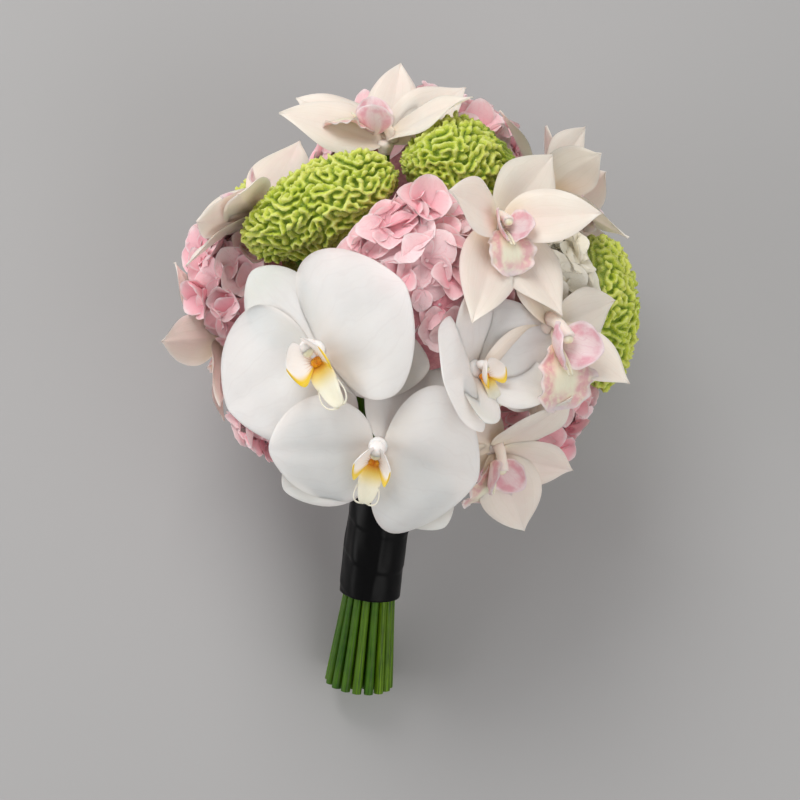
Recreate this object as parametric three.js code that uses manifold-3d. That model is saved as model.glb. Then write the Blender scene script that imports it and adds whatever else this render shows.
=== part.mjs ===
// A hand-tied bridal bouquet, lying on its back as it would be laid down on a table.
// Moth orchids, cymbidium orchids, hydrangea heads and cockscomb heads stand on their own green stems.
// The stems are tied with tape, and black satin ribbon is wound over the tie.
//
// The bunch is built upright round its own axis (+Z up through the stems to the crown, front towards -Y),
// with its origin at the middle of the round head, and is then laid on its back as one group.
// Everything is in millimetres.

import * as THREE from "three";
import { ConvexHull } from "three/addons/math/ConvexHull.js";
import { mergeVertices } from "three/addons/utils/BufferGeometryUtils.js";
import Module from "manifold-3d";

const wasm = await Module();
wasm.setup();

// Driving dimensions
const restTilt = 25; // degrees between the bunch's axis and the table
const gap = 0.4; // clearance between pieces that touch
const cutEnd = -231; // height of the cut stem ends below the middle of the head
const ribbonFoot = -174; // where the ribbon ends and the stems show
const ribbonTop = -88; // where the ribbon meets the flowers
const slimStem = 4.6; // diameter of the sixteen outer stems
const thickStem = 6.4; // diameter of the seven inner stems
const outerRing = 13.0; // radius of the ring of outer stems inside the tie
const innerRing = 6.8; // radius of the ring of inner stems
const flare = 1.36; // how far the bundle opens at the cut ends
const twist = 10; // degrees that the bundle turns from its top to its cut ends
const stemSides = 6;
const bendSteps = 3; // straight stretches that stand in for a stem's bend above the ribbon
const tieHeight = 22; // width of the binding tape
const tieThick = 0.6;
const ribbonThick = 0.9;
const ribbonTurns = 4; // wraps of satin, one lapping over the next
const ribbonLap = 0.6; // how far each wrap stands out over the one below it
const floretRadius = 15; // of a hydrangea floret, larger than life
const crestDepth = 2.6; // half of the height of a cockscomb's folds
const clearOfTable = 1; // height of every head but the resting ones above the table
const fineness = 0.19; // unevenness that a finished solid may lose to spare triangles

// Numbers and directions
const rad = THREE.MathUtils.degToRad;
const vec = (x, y, z) => new THREE.Vector3(x, y, z);

// A repeatable draw from 0 to 1 for item number i and purpose number k.
function draw(i, k) {
  const s = Math.sin(i * 12.9898 + k * 78.233) * 43758.5453;
  return s - Math.floor(s);
}

// A unit vector from the middle of the head.
// azimuth turns from the front to the right, and tilt falls from the crown.
function towards(azimuth, tilt) {
  const a = rad(azimuth);
  const t = rad(tilt);
  return vec(Math.sin(t) * Math.sin(a), -Math.sin(t) * Math.cos(a), Math.cos(t));
}

// A frame at a place, facing one way.
// roll turns its own up anticlockwise, in degrees, as one who looks at its face sees it.
function frameAt(place, facing, roll) {
  const up = vec(0, 0, 1).addScaledVector(facing, -facing.z).normalize();
  up.applyAxisAngle(facing, rad(roll));
  const right = up.clone().cross(facing);
  return new THREE.Matrix4().makeBasis(right, up, facing).setPosition(place);
}

// Solids
function solidOf(geometry) {
  geometry.deleteAttribute("normal");
  geometry.deleteAttribute("uv");
  const merged = mergeVertices(geometry, 1e-4);
  const mesh = new wasm.Mesh({
    numProp: 3,
    vertProperties: merged.attributes.position.array,
    triVerts: new Uint32Array(merged.index.array),
  });
  return new wasm.Manifold(mesh);
}

// A solid from its corners, as x, y, z in a row, and from three places in that list for each face.
function skinned(positions, faces) {
  const geometry = new THREE.BufferGeometry();
  geometry.setAttribute("position", new THREE.Float32BufferAttribute(positions, 3));
  geometry.setIndex(faces);
  return solidOf(geometry);
}

const union = (solids) => wasm.Manifold.union(solids);
const moved = (solid, matrix) => solid.transform(matrix.elements);

// The largest body of a solid, without the loose scraps that a cut leaves.
function mainBody(solid) {
  const bodies = solid.decompose();
  bodies.sort((a, b) => b.volume() - a.volume());
  return bodies[0];
}

// An egg shape round the origin with three half-sizes.
function egg(halfX, halfY, halfZ, around = 12, rings = 8) {
  const ball = new THREE.SphereGeometry(1, around, rings);
  return solidOf(ball.scale(halfX, halfY, halfZ));
}

// A grid of points, closed round its first direction and capped by a point at both ends, as one solid.
function closedRings(rings, start, end) {
  const positions = [...start.toArray()];
  rings.forEach((ring) => ring.forEach((p) => positions.push(...p.toArray())));
  positions.push(...end.toArray());
  const sides = rings[0].length;
  const last = positions.length / 3 - 1;
  const at = (r, s) => 1 + r * sides + (s % sides);
  const faces = [];
  for (let s = 0; s < sides; s += 1) {
    faces.push(0, at(0, s + 1), at(0, s));
    faces.push(last, at(rings.length - 1, s), at(rings.length - 1, s + 1));
  }
  for (let r = 0; r + 1 < rings.length; r += 1) {
    for (let s = 0; s < sides; s += 1) {
      faces.push(at(r, s), at(r, s + 1), at(r + 1, s + 1));
      faces.push(at(r, s), at(r + 1, s + 1), at(r + 1, s));
    }
  }
  return skinned(positions, faces);
}

// A closed skin over points that all show from the origin, joined as their directions lie side by side.
function skinOver(points) {
  const directions = points.map((p) => p.clone().normalize());
  const places = new Map(directions.map((direction, i) => [direction, i]));
  const faces = [];
  for (const { edge } of new ConvexHull().setFromPoints(directions).faces) {
    for (const corner of [edge, edge.next, edge.next.next]) faces.push(places.get(corner.head().point));
  }
  return skinned(points.flatMap((p) => p.toArray()), faces);
}

// Petals
// Outlines give the half-width from root (0) to tip (1) as a share of the widest place.
const outlines = {
  round: (u) => Math.sin(Math.PI * u) ** 0.5,
  oval: (u) => Math.sin(Math.PI * u ** 0.95) ** 0.62,
  pointed: (u) => Math.sin(Math.PI * u ** 0.84) ** (0.62 + 0.5 * u),
  tongue: (u) => Math.sin(Math.PI * u ** 1.2) ** 0.55,
  strap: (u) => (1 - 0.42 * u) * Math.sin(Math.PI * u) ** 0.25,
  ear: (u) => Math.sin(Math.PI * u ** 1.5) ** 0.6,
};

// A petal is a thin closed blade that leaves the origin along +X and faces +Z.
// lift is its slope at the root and curl how far it bends on its way to the tip, in degrees.
// cup raises its edges, sweep draws them back towards the root, and wave ruffles them.
// grow makes it fatter all round, for the room that a neighbour leaves it.
function petal(spec, grow = 0) {
  const { length, width, outline, lift = 0, curl = 0, cup = 0, sweep = 0, root = 2 } = spec;
  const { wave = 0, waves = 3, phase = 0, thick = 0.9, along = 5, across = 2 } = spec;
  const half = thick / 2 + grow;
  const full = length + 2 * grow;
  const positions = [];
  const starts = [];
  const isEnd = (i) => i === 0 || i === along;
  let x = root - grow;
  let z = 0;
  let before = 0;
  for (let i = 0; i <= along; i += 1) {
    const u = 0.5 - 0.5 * Math.cos((Math.PI * i) / along);
    const slope = rad(lift + (curl * (u + before)) / 2);
    x += Math.cos(slope) * (u - before) * full;
    z += Math.sin(slope) * (u - before) * full;
    before = u;
    starts.push(positions.length / 3);
    const reach = (width / 2) * outlines[outline](u) + grow;
    const columns = isEnd(i) ? [0] : Array.from({ length: across + 1 }, (_, j) => (2 * j) / across - 1);
    const [cos, sin] = [Math.cos(rad(lift + curl * u)), Math.sin(rad(lift + curl * u))];
    for (const v of columns) {
      const back = sweep * reach * v * v;
      const rise = cup * reach * v * v + wave * Math.sin(waves * Math.PI * u + phase + v) * v * v;
      for (const side of [half, -half]) {
        const out = rise + side;
        positions.push(x - cos * back - sin * out, reach * v, z - sin * back + cos * out);
      }
    }
  }
  const at = (i, j) => starts[i] + (isEnd(i) ? 0 : 2 * j);
  const faces = [];
  const face = (a, b, c) => a !== b && b !== c && c !== a && faces.push(a, b, c);
  for (let i = 0; i < along; i += 1) {
    for (let j = 0; j < across; j += 1) {
      const [a, b, c, d] = [at(i, j), at(i + 1, j), at(i + 1, j + 1), at(i, j + 1)];
      face(a, b, c);
      face(a, c, d);
      face(a + 1, c + 1, b + 1);
      face(a + 1, d + 1, c + 1);
    }
    const [left, leftNext] = [at(i, 0), at(i + 1, 0)];
    const [right, rightNext] = [at(i, across), at(i + 1, across)];
    faces.push(left, left + 1, leftNext + 1, left, leftNext + 1, leftNext);
    faces.push(right, rightNext, rightNext + 1, right, rightNext + 1, right + 1);
  }
  return skinned(positions, faces);
}

// The same petal turned to its place round the bloom, degrees anticlockwise from the bloom's right.
// slope raises the whole petal, and lean then turns it about its own length.
function petalAt(angle, height, spec, grow = 0) {
  const place = new THREE.Matrix4().makeRotationZ(rad(angle)).setPosition(0, 0, height);
  const slope = new THREE.Matrix4().makeRotationY(rad(-(spec.slope ?? 0)));
  const lean = new THREE.Matrix4().makeRotationX(rad(spec.lean ?? 0));
  return moved(petal(spec, grow), place.multiply(slope).multiply(lean));
}

// Moth orchid: a sepal above and two below, two broad round petals in front of them, and the column.
const mothSepal = { length: 56, width: 42, outline: "oval", cup: 0.08 };
const mothPetal = {
  length: 54, width: 76, outline: "round", cup: -0.08, sweep: 0.16, along: 6, across: 4, thick: 1,
};

function mothTepals(flower) {
  const { size = 1, top = 90, wings = [178, 2], sides = [222, 318] } = flower;
  const { broad, open = 0, droop = 0, lay } = flower;
  const sized = (spec, [long, wide], more) => {
    return { ...spec, ...more, length: spec.length * size * long, width: spec.width * size * wide };
  };
  return [
    [top, -2, sized(mothSepal, [1, 1], { lift: open + lay[0], curl: -10 })],
    [sides[0], -2, sized(mothSepal, [1, 1], { lift: open + lay[1], curl: 4 })],
    [sides[1], -2, sized(mothSepal, [1, 1], { lift: open + lay[1], curl: 4 })],
    [wings[0], 1.2, sized(mothPetal, broad[0], { lift: open + 9, curl: -24 - droop })],
    [wings[1], 1.2, sized(mothPetal, broad[1], { lift: open + 9, curl: -24 - droop })],
  ];
}

// Its lip: a tongue, two ears that rise beside it, and the wart between them.
function mothLip(grow = 0) {
  const tongue = { length: 20, width: 12.5, outline: "strap", lift: 30, curl: -46, cup: 0.2 };
  const ear = { length: 14, width: 18, outline: "ear", lift: 44, curl: 30, cup: 0.25, along: 3 };
  const lift = new THREE.Matrix4().makeTranslation(0, -5.4, 4.6);
  const wart = egg(2.8 + grow, 2.8 + grow, 3.0 + grow, 5, 3);
  const parts = [
    wart,
    petalAt(270, -0.5, { ...tongue, root: 1 }, grow),
    petalAt(164, 0, { ...ear, root: 1.2 }, grow),
    petalAt(16, 0, { ...ear, root: 1.2 }, grow),
  ];
  return moved(union(parts), lift);
}

// Cymbidium orchid: five long pointed tepals round the column.
const longTepal = { outline: "pointed", cup: 0.22, wave: 1 };

function longTepals(flower) {
  const { size = 1, broad = 1, seed, lay = [], lean = [] } = flower;
  const { angles = [90, 148, 32, 218, 322] } = flower;
  return angles.map((angle, i) => {
    const inner = i === 1 || i === 2;
    const spec = {
      ...longTepal,
      length: (inner ? 50 : 54) * size * (0.96 + 0.08 * draw(i, seed)),
      width: (inner ? 26 : 29) * size * broad,
      slope: (inner ? 31 : 22) + (lay[i] ?? 0),
      curl: -16 + 12 * (draw(i, seed + 3) - 0.5),
      phase: 5 * draw(i, seed + 7),
      lean: lean[i],
    };
    return [angle, inner ? 1 : -0.8, spec];
  });
}

// Its lip: a ruffled tongue that rolls over at the mouth, between two upright side lobes.
function longLip(grow = 0) {
  const tongue = { length: 32, width: 31, outline: "tongue", lift: 52, curl: -96, cup: 0.14 };
  const lobe = { length: 21, width: 21, outline: "oval", lift: 54, curl: 12, cup: 0.26, along: 3 };
  const parts = [
    egg(3.2 + grow, 3.2 + grow, 3.2 + grow, 5, 3),
    petalAt(270, 0, { ...tongue, wave: 1.5, waves: 5, root: 1 }, grow),
    petalAt(192, 0.2, { ...lobe, root: 1.5 }, grow),
    petalAt(348, 0.2, { ...lobe, root: 1.5 }, grow),
  ];
  return moved(union(parts), new THREE.Matrix4().makeTranslation(0, -5.6, 4.8));
}

const orchidKinds = {
  moth: { tepals: mothTepals, lip: mothLip, column: [5.0, 8.5, 18], heart: 5.2, seat: 6.0 },
  cymbidium: { tepals: longTepals, lip: longLip, column: [4.6, 12.5, 26], heart: 5.0, seat: 5.8 },
};

// The column leans over the lip from the heart of the bloom, and the heart sits on the stem.
function orchidTepals(flower, grow = 0) {
  const kind = orchidKinds[flower.kind];
  const [wide, long, lean] = kind.column;
  const column = egg(wide / 2 + grow, wide / 2 + grow, long / 2 + grow, 6, 5).rotate([lean, 0, 0]);
  const mouth = column.translate([0, 1.2, 2 + long / 2]).scale(flower.mouth ?? 1);
  const base = new THREE.CylinderGeometry(kind.heart + grow, 3.2 + grow, kind.seat + grow, 8);
  const heart = solidOf(base.rotateX(Math.PI / 2));
  const blades = kind.tepals(flower).map(([angle, height, spec]) => petalAt(angle, height, spec, grow));
  return union([mouth, heart.translate([0, 0, 2 - kind.seat / 2]), ...blades]);
}

// The lip in its place, larger on blooms with a wide mouth.
function orchidLip(flower, grow = 0) {
  const mouth = orchidKinds[flower.kind].lip(grow).scale(flower.mouth ?? 1);
  return moved(mouth, flower.frame);
}

// Hydrangea: four-petalled florets stand side by side out of an egg-shaped core.
// A floret is a dish with a hollow middle and four round petals.
// Its points are that middle, the petals' rims, the notches between them and the foot of the rim.
function floretPoints(radius, seed) {
  const points = [vec(0, 0, 0.6)];
  for (let lobe = 0; lobe < 4; lobe += 1) {
    const reach = radius * (1 + 0.14 * (draw(lobe, seed) - 0.5));
    for (const [angle, share, rise] of [[-27, 1, 2.6], [27, 1, 1.4], [-24, 1.09, -4.5], [24, 1.09, -4.5]]) {
      const turn = rad(90 * lobe + angle);
      points.push(vec(reach * share * Math.cos(turn), reach * share * Math.sin(turn), rise));
    }
    const notch = rad(90 * lobe + 45);
    points.push(vec(0.45 * reach * Math.cos(notch), 0.45 * reach * Math.sin(notch), 0.2));
    points.push(vec(0.8 * reach * Math.cos(notch), 0.8 * reach * Math.sin(notch), -4));
  }
  return points;
}

// isFree tells whether a floret's disc keeps clear of the stems and petals.
// Where it doesn't, the core shows.
// Where two florets meet, each keeps the points on its own side.
function hydrangea(flower, isFree) {
  const half = vec(...flower.half);
  const size = flower.floret ?? floretRadius;
  const golden = Math.PI * (3 - Math.sqrt(5));
  const bare = [];
  const florets = [];
  for (let i = 0; i < flower.florets; i += 1) {
    const up = 1 - (1.12 * (i + 0.5)) / flower.florets;
    const out = Math.sqrt(1 - up * up);
    const dir = vec(out * Math.cos(golden * i), out * Math.sin(golden * i), up);
    const place = dir.clone().multiply(half.clone().addScalar(-2.5));
    const tip = vec(draw(i, flower.seed) - 0.5, draw(i, flower.seed + 1) - 0.5, 0).multiplyScalar(0.3);
    const facing = dir.clone().divide(half).normalize().add(tip).normalize();
    const frame = frameAt(place, facing, 90 * draw(i, flower.seed + 2));
    if (isFree(moved(egg(0.9 * size, 0.9 * size, 2, 8, 4), frame))) {
      const petals = floretPoints(size * (0.93 + 0.14 * draw(i, flower.seed + 4)), i);
      florets.push({ place, points: petals.map((p) => p.applyMatrix4(frame)) });
    } else {
      bare.push(dir.clone().multiply(half.clone().addScalar(-8)));
    }
  }
  for (let i = 0; i < 9; i += 1) {
    const turn = (2 * Math.PI * i) / (i < 6 ? 6 : 3);
    const out = i < 6 ? 0.75 : 0.3;
    const dir = vec(out * Math.cos(turn), out * Math.sin(turn), -Math.sqrt(1 - out * out));
    bare.push(dir.multiply(half.clone().addScalar(-6)));
  }
  const isOwn = (p, floret) => {
    const distance = p.distanceTo(floret.place);
    return florets.every((other) => distance <= p.distanceTo(other.place));
  };
  const kept = florets.flatMap((floret) => floret.points.filter((p) => isOwn(p, floret)));
  return skinOver([...kept, ...bare]);
}

// Cockscomb: a crest whose folds wind over it side by side, raised from an egg shape by a formula.
function cockscomb(flower) {
  const [halfX, halfY, halfZ] = flower.half;
  const around = 22;
  const rows = 10;
  const point = (i, j) => {
    const polar = (Math.PI * (j + 0.5)) / rows;
    const turn = (2 * Math.PI * (i + 1.3 * Math.sin(1.7 * j + flower.seed))) / around;
    const dir = vec(-Math.cos(polar), Math.sin(polar) * Math.cos(turn), Math.sin(polar) * Math.sin(turn));
    const lump = 1 + 0.07 * Math.sin(3 * turn + flower.seed) * Math.sin(2 * polar);
    const base = vec(dir.x * halfX, dir.y * halfY, dir.z * halfZ).multiplyScalar(lump);
    return base.addScaledVector(dir, (i % 2 ? -2 : 0) * crestDepth * Math.sin(polar) ** 0.3);
  };
  const ring = (j) => Array.from({ length: around }, (_, i) => point(i, j));
  const rings = Array.from({ length: rows }, (_, j) => ring(j));
  return closedRings(rings, vec(crestDepth - halfX, 0, 0), vec(halfX - crestDepth, 0, 0));
}

const headKinds = { hydrangea, cockscomb };

// The flowers.
// at is azimuth, tilt and distance from the middle of the head, and face is azimuth and tilt.
// half gives a head's half-sizes across, up and outwards, and florets its number of florets.
// stem is "inner" or "outer" and its place in that ring, seed the number that its chance draws start from.
// angles, top, sides and wings give the tepals' turns round the bloom.
// open, lay, lean and droop give their slopes.
// broad makes petals longer or wider, and mouth the lip and the column larger.
const flowers = [
  {
    name: "moth_orchid_left", kind: "moth", stem: ["outer", 5],
    at: [-19.5, 94.5, 125], face: [-23, 83], roll: 43, top: 103, lay: [0, -24],
    sides: [232, 318], broad: [[1.1, 1.03], [1.06, 1.14]], mouth: 1.3,
  },
  {
    name: "moth_orchid_low", kind: "moth", stem: ["outer", 6],
    at: [-2, 113, 138], face: [-3, 99], roll: -6, top: 72, droop: 4, lay: [-26, -6],
    wings: [198, 353], broad: [[1.04, 0.8], [0.98, 1.14]], mouth: 1.15,
  },
  {
    name: "moth_orchid_right", kind: "moth", stem: ["outer", 8],
    at: [20, 95, 120], face: [41, 68], roll: 14, size: 0.74, open: 28, lay: [0, 6],
    broad: [[1.1, 1.08], [1.1, 1.08]], mouth: 0.85,
  },
  {
    name: "cymbidium_crown", kind: "cymbidium", stem: ["inner", 2],
    at: [-31, 24, 100], face: [-26, 8], roll: 300, size: 1.1, seed: 1,
    angles: [116, 170, 62, 244, 280], lay: [14, 12, 8, 4, 0], lean: [38, 0, 26, -30, -45],
  },
  {
    name: "cymbidium_upper_left", kind: "cymbidium", stem: ["outer", 4],
    at: [-64, 64, 103], face: [-95, 48], roll: 270, broad: 1.25, seed: 2,
    angles: [66, 100, 30, 220, 316], lay: [8, -6, -16, 2, 12], lean: [15, 0, 0, 50, -20],
  },
  {
    name: "cymbidium_upper_right", kind: "cymbidium", stem: ["inner", 3],
    at: [25, 58, 119], face: [26, 62], size: 1.05, broad: 1.12, mouth: 0.88, seed: 3,
    angles: [46, 176, 358, 248, 300], lay: [-20, 10, 9, -8, -10],
  },
  {
    name: "cymbidium_right", kind: "cymbidium", stem: ["outer", 10],
    at: [38, 84, 123], face: [38, 82], mouth: 1.22, seed: 4,
    angles: [14, 110, 322, 222, 276], lay: [-18, -34, 3, -30, -30],
  },
  {
    name: "cymbidium_low_right", kind: "cymbidium", stem: ["outer", 9],
    at: [33, 119, 118], face: [40, 120], size: 1.06, broad: 1.15, seed: 5,
    angles: [76, 146, 354, 212, 306], lay: [4, -40, -5, -16, 16],
  },
  {
    name: "cymbidium_left", kind: "cymbidium", stem: ["outer", 2],
    at: [-81.5, 107, 104], face: [-100, 100], roll: -70, seed: 6,
    angles: [78, 140, 30, 210, 318], lay: [4, 0, -31, 0, 0],
  },
  {
    name: "cymbidium_far_right", kind: "cymbidium", stem: ["inner", 4],
    at: [68, 44, 104], face: [110, 45], broad: 1.15, seed: 7,
    angles: [52, 166, 6, 225, 312], lay: [2, 9, 35, 0, 0],
  },
  {
    name: "cymbidium_back", kind: "cymbidium", stem: ["outer", 14],
    at: [118, 60, 108], face: [116, 58], seed: 8,
  },
  {
    name: "hydrangea_front", kind: "hydrangea", stem: ["outer", 7],
    at: [7, 80, 92], half: [43, 57, 28], florets: 16, seed: 11,
  },
  {
    name: "hydrangea_right", kind: "hydrangea", stem: ["outer", 12],
    at: [78, 121, 91], half: [46, 43, 29], florets: 11, seed: 12,
  },
  {
    name: "hydrangea_left", kind: "hydrangea", stem: ["outer", 1],
    at: [-86, 88, 94], half: [44, 43, 29], florets: 11, seed: 13,
  },
  {
    name: "hydrangea_low_left", kind: "hydrangea", stem: ["outer", 3],
    at: [-68, 135, 87], half: [44, 41, 28], florets: 11, seed: 14,
  },
  {
    name: "hydrangea_white", kind: "hydrangea", stem: ["outer", 11],
    at: [57, 77, 93], half: [36, 39, 27], florets: 10, floret: 14, seed: 15,
  },
  {
    name: "hydrangea_rest", kind: "hydrangea", stem: ["outer", 0],
    at: [-146, 101, 91], half: [54, 50, 31], florets: 13, seed: 16,
  },
  {
    name: "hydrangea_back", kind: "hydrangea", stem: ["inner", 5],
    at: [176, 31, 85], half: [60, 58, 33], florets: 15, seed: 17,
  },
  {
    name: "cockscomb_upper_left", kind: "cockscomb", stem: ["inner", 1],
    at: [-38.5, 55.5, 99], roll: 42, half: [47, 24, 25], seed: 21,
  },
  {
    name: "cockscomb_top", kind: "cockscomb", stem: ["inner", 6],
    at: [24, 30, 100], roll: 20, half: [34, 29, 26], seed: 22,
  },
  {
    name: "cockscomb_right", kind: "cockscomb", stem: ["outer", 13],
    at: [79, 85, 106], roll: 92, half: [46, 28, 28], seed: 23,
  },
  {
    name: "cockscomb_left", kind: "cockscomb", stem: ["inner", 0],
    at: [-112, 70, 92], roll: 60, half: [38, 36, 28], seed: 24,
  },
  {
    name: "cockscomb_rest", kind: "cockscomb", stem: ["outer", 15],
    at: [146, 102, 96], roll: 90, half: [50, 47, 30], seed: 25,
  },
];

const isOrchid = (flower) => flower.kind in orchidKinds;
const orchids = flowers.filter(isOrchid);
const heads = flowers.filter((flower) => !isOrchid(flower));

for (const flower of flowers) {
  const [azimuth, tilt, reach] = flower.at;
  const facing = towards(...(flower.face ?? [azimuth, tilt]));
  flower.facing = facing;
  flower.frame = frameAt(towards(azimuth, tilt).multiplyScalar(reach), facing, flower.roll ?? 0);
}

// Stems
// A stem keeps its place in the bundle all the way from the cut ends to the top of the ribbon.
// The seventh inner stem runs up the middle.
function slotPoint([ring, index], height) {
  const inner = ring === "inner";
  const radius = inner ? innerRing * (index < 6) : outerRing;
  const angle = inner ? 60 * index - 150 : 22.5 * index - 168.75;
  const below = Math.min(Math.max((ribbonFoot - height) / (ribbonFoot - cutEnd), 0), 1);
  const share = (ribbonTop - height) / (ribbonTop - cutEnd);
  const open = 1 + (flare - 1) * below;
  const turned = rad(angle + twist * share);
  return vec(radius * open * Math.sin(turned), -radius * open * Math.cos(turned), height);
}

// Above the ribbon it bends out in one smooth curve to the back of its flower.
class StemPath extends THREE.Curve {
  constructor(flower) {
    super();
    this.corners = [cutEnd, ribbonFoot, ribbonTop].map((height) => slotPoint(flower.stem, height));
    const top = this.corners[2];
    const seat = isOrchid(flower) ? orchidKinds[flower.kind].seat - 2 + gap : flower.half[2] - 11;
    const head = vec(0, 0, -seat).applyMatrix4(flower.frame);
    const span = head.distanceTo(top);
    const leaving = vec(1.5 * top.x, 1.5 * top.y, top.z + 0.4 * span);
    const arriving = head.clone().addScaledVector(flower.facing, -0.36 * span);
    this.bend = new THREE.CubicBezierCurve3(top, leaving, arriving, head);
    this.steps = 2 + bendSteps;
  }

  getPoint(t) {
    const step = t * this.steps;
    if (step >= 2) return this.bend.getPoint((step - 2) / bendSteps);
    const below = Math.floor(step);
    return this.corners[below].clone().lerp(this.corners[below + 1], step - below);
  }

  // Steps are spaced by number and not by length, so that they fall on the corners.
  getUtoTmapping(u) {
    return u;
  }
}

function stemSolid(flower, grow = 0) {
  const radius = (flower.stem[0] === "inner" ? thickStem : slimStem) / 2 + grow;
  const turns = Array.from({ length: stemSides }, (_, i) => (2 * Math.PI * i) / stemSides);
  const corner = (turn) => new THREE.Vector2(radius * Math.cos(turn), radius * Math.sin(turn));
  const path = new StemPath(flower);
  const options = { steps: path.steps, extrudePath: path, bevelEnabled: false };
  return solidOf(new THREE.ExtrudeGeometry(new THREE.Shape(turns.map(corner)), options));
}

// A sleeve round the bundle from a closed profile of radius and height.
function sleeve(profile, sides) {
  const points = profile.map(([radius, height]) => new THREE.Vector2(radius, height));
  points.push(points[0].clone());
  return solidOf(new THREE.LatheGeometry(points, sides).rotateX(Math.PI / 2));
}

const bundleRadius = outerRing + slimStem / 2;

function tieSolid() {
  const inside = bundleRadius + gap;
  const middle = (ribbonTop + ribbonFoot) / 2;
  const low = middle - tieHeight / 2;
  const high = middle + tieHeight / 2;
  const outside = inside + tieThick;
  return sleeve([[inside, low], [outside, low], [outside, high], [inside, high]], 24);
}

// The ribbon's turns lap like shingles, so its outside steps out towards the cut ends of each turn.
function ribbonSolid() {
  const inside = bundleRadius + tieThick + 2 * gap;
  const outside = inside + ribbonThick;
  const lap = (ribbonTop - ribbonFoot) / ribbonTurns;
  const profile = [[inside, ribbonTop], [inside, ribbonFoot]];
  for (let turn = 0; turn < ribbonTurns; turn += 1) {
    const low = ribbonFoot + turn * lap;
    profile.push([outside + ribbonLap, low + (turn ? ribbonLap : 0)]);
    profile.push([outside, low + lap]);
  }
  return sleeve(profile, 24);
}

// Heads
// Where two heads press on each other, each stops at a flat face between them.
function reachOf(flower, direction) {
  const e = flower.frame.elements;
  const sum = flower.half.reduce((total, half, k) => {
    const share = direction.dot(vec(e[4 * k], e[4 * k + 1], e[4 * k + 2]));
    return total + (half * share) ** 2;
  }, 0);
  return Math.sqrt(sum) + 4;
}

function pressedOn(solid, flower, heads) {
  const middle = vec(0, 0, 0).setFromMatrixPosition(flower.frame);
  let pressed = solid;
  for (const other of heads) {
    if (other === flower) continue;
    const between = vec(0, 0, 0).setFromMatrixPosition(other.frame).sub(middle);
    const distance = between.length();
    between.normalize();
    const own = reachOf(flower, between);
    const theirs = reachOf(other, between);
    if (own + theirs < distance) continue;
    const stop = middle.dot(between) + (distance * own) / (own + theirs) - gap / 2;
    pressed = pressed.trimByPlane(between.clone().negate().toArray(), -stop);
  }
  return pressed;
}

// The table under the laid bunch, as a plane in the bunch's own frame.
const tableUp = vec(0, -Math.cos(rad(restTilt)), Math.sin(rad(restTilt)));
const laidDown = [restTilt - 90, 0, 0];
const stems = flowers.map((flower) => stemSolid(flower));
const table = union(stems).rotate(laidDown).boundingBox().min[2];

// The bunch lies on these two heads and on its cut ends.
const restingHeads = ["hydrangea_rest", "cockscomb_rest"];

// Assembly
const finishes = {
  whitePetal: { color: "#f4f1f0", roughness: 0.55 },
  creamPetal: { color: "#f3ebe4", roughness: 0.55 },
  yellowLip: { color: "#f0c32a", roughness: 0.5 },
  pinkLip: { color: "#e3a6b6", roughness: 0.5 },
  pinkFloret: { color: "#e9a2b6", roughness: 0.65 },
  whiteFloret: { color: "#efeadd", roughness: 0.65 },
  greenCrest: { color: "#9fc043", roughness: 0.75 },
  greenStem: { color: "#4c7d1c", roughness: 0.5 },
  blackSatin: { color: "#0c0c10", roughness: 0.35 },
  greenTape: { color: "#3f5a2a", roughness: 0.8 },
};

const headFinish = (flower) => {
  if (flower.kind === "cockscomb") return "greenCrest";
  return flower.name === "hydrangea_white" ? "whiteFloret" : "pinkFloret";
};

const bunch = new THREE.Group();

// Adds a solid that is in the bunch's frame as a mesh that stands at its own place.
function addPiece(name, solid, finish, frame = new THREE.Matrix4()) {
  const clean = mainBody(solid.asOriginal().simplify(fineness));
  const { vertProperties, triVerts } = clean.getMesh();
  const geometry = new THREE.BufferGeometry();
  geometry.setAttribute("position", new THREE.BufferAttribute(new Float32Array(vertProperties), 3));
  geometry.setIndex(new THREE.BufferAttribute(new Uint32Array(triVerts), 1));
  geometry.applyMatrix4(frame.clone().invert());
  const flat = geometry.toNonIndexed();
  flat.computeVertexNormals();
  const material = new THREE.MeshStandardMaterial({ ...finishes[finish], metalness: 0 });
  const mesh = new THREE.Mesh(flat, material);
  mesh.name = name;
  mesh.applyMatrix4(frame);
  bunch.add(mesh);
}

addPiece("ribbon", ribbonSolid(), "blackSatin");
addPiece("tie", tieSolid(), "greenTape");
flowers.forEach((flower, i) => addPiece(`stem_${flower.name}`, stems[i], "greenStem"));

// What a softer piece makes room for: every stem, then the lips, then the petals placed before it.
const seats = flowers.map((flower) => stemSolid(flower, gap));
orchids.forEach((flower) => seats.push(orchidLip(flower, gap)));

const touching = (solid) => seats.filter((seat) => !solid.intersect(seat).isEmpty());
const withRoom = (solid) => solid.subtract(union(touching(solid)));

for (const flower of orchids) {
  const moth = flower.kind === "moth";
  const lip = orchidLip(flower);
  const tepals = withRoom(moved(orchidTepals(flower), flower.frame));
  addPiece(flower.name, tepals, moth ? "whitePetal" : "creamPetal", flower.frame);
  addPiece(`${flower.name}_lip`, lip, moth ? "yellowLip" : "pinkLip", flower.frame);
  seats.push(moved(orchidTepals(flower, gap), flower.frame));
}

for (const flower of heads) {
  const isFree = (solid) => !touching(moved(solid, flower.frame)).length;
  const whole = moved(headKinds[flower.kind](flower, isFree), flower.frame);
  const lift = restingHeads.includes(flower.name) ? 0 : clearOfTable;
  const seated = pressedOn(withRoom(whole), flower, heads).trimByPlane(tableUp.toArray(), table + lift);
  addPiece(flower.name, seated, headFinish(flower), flower.frame);
}

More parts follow.
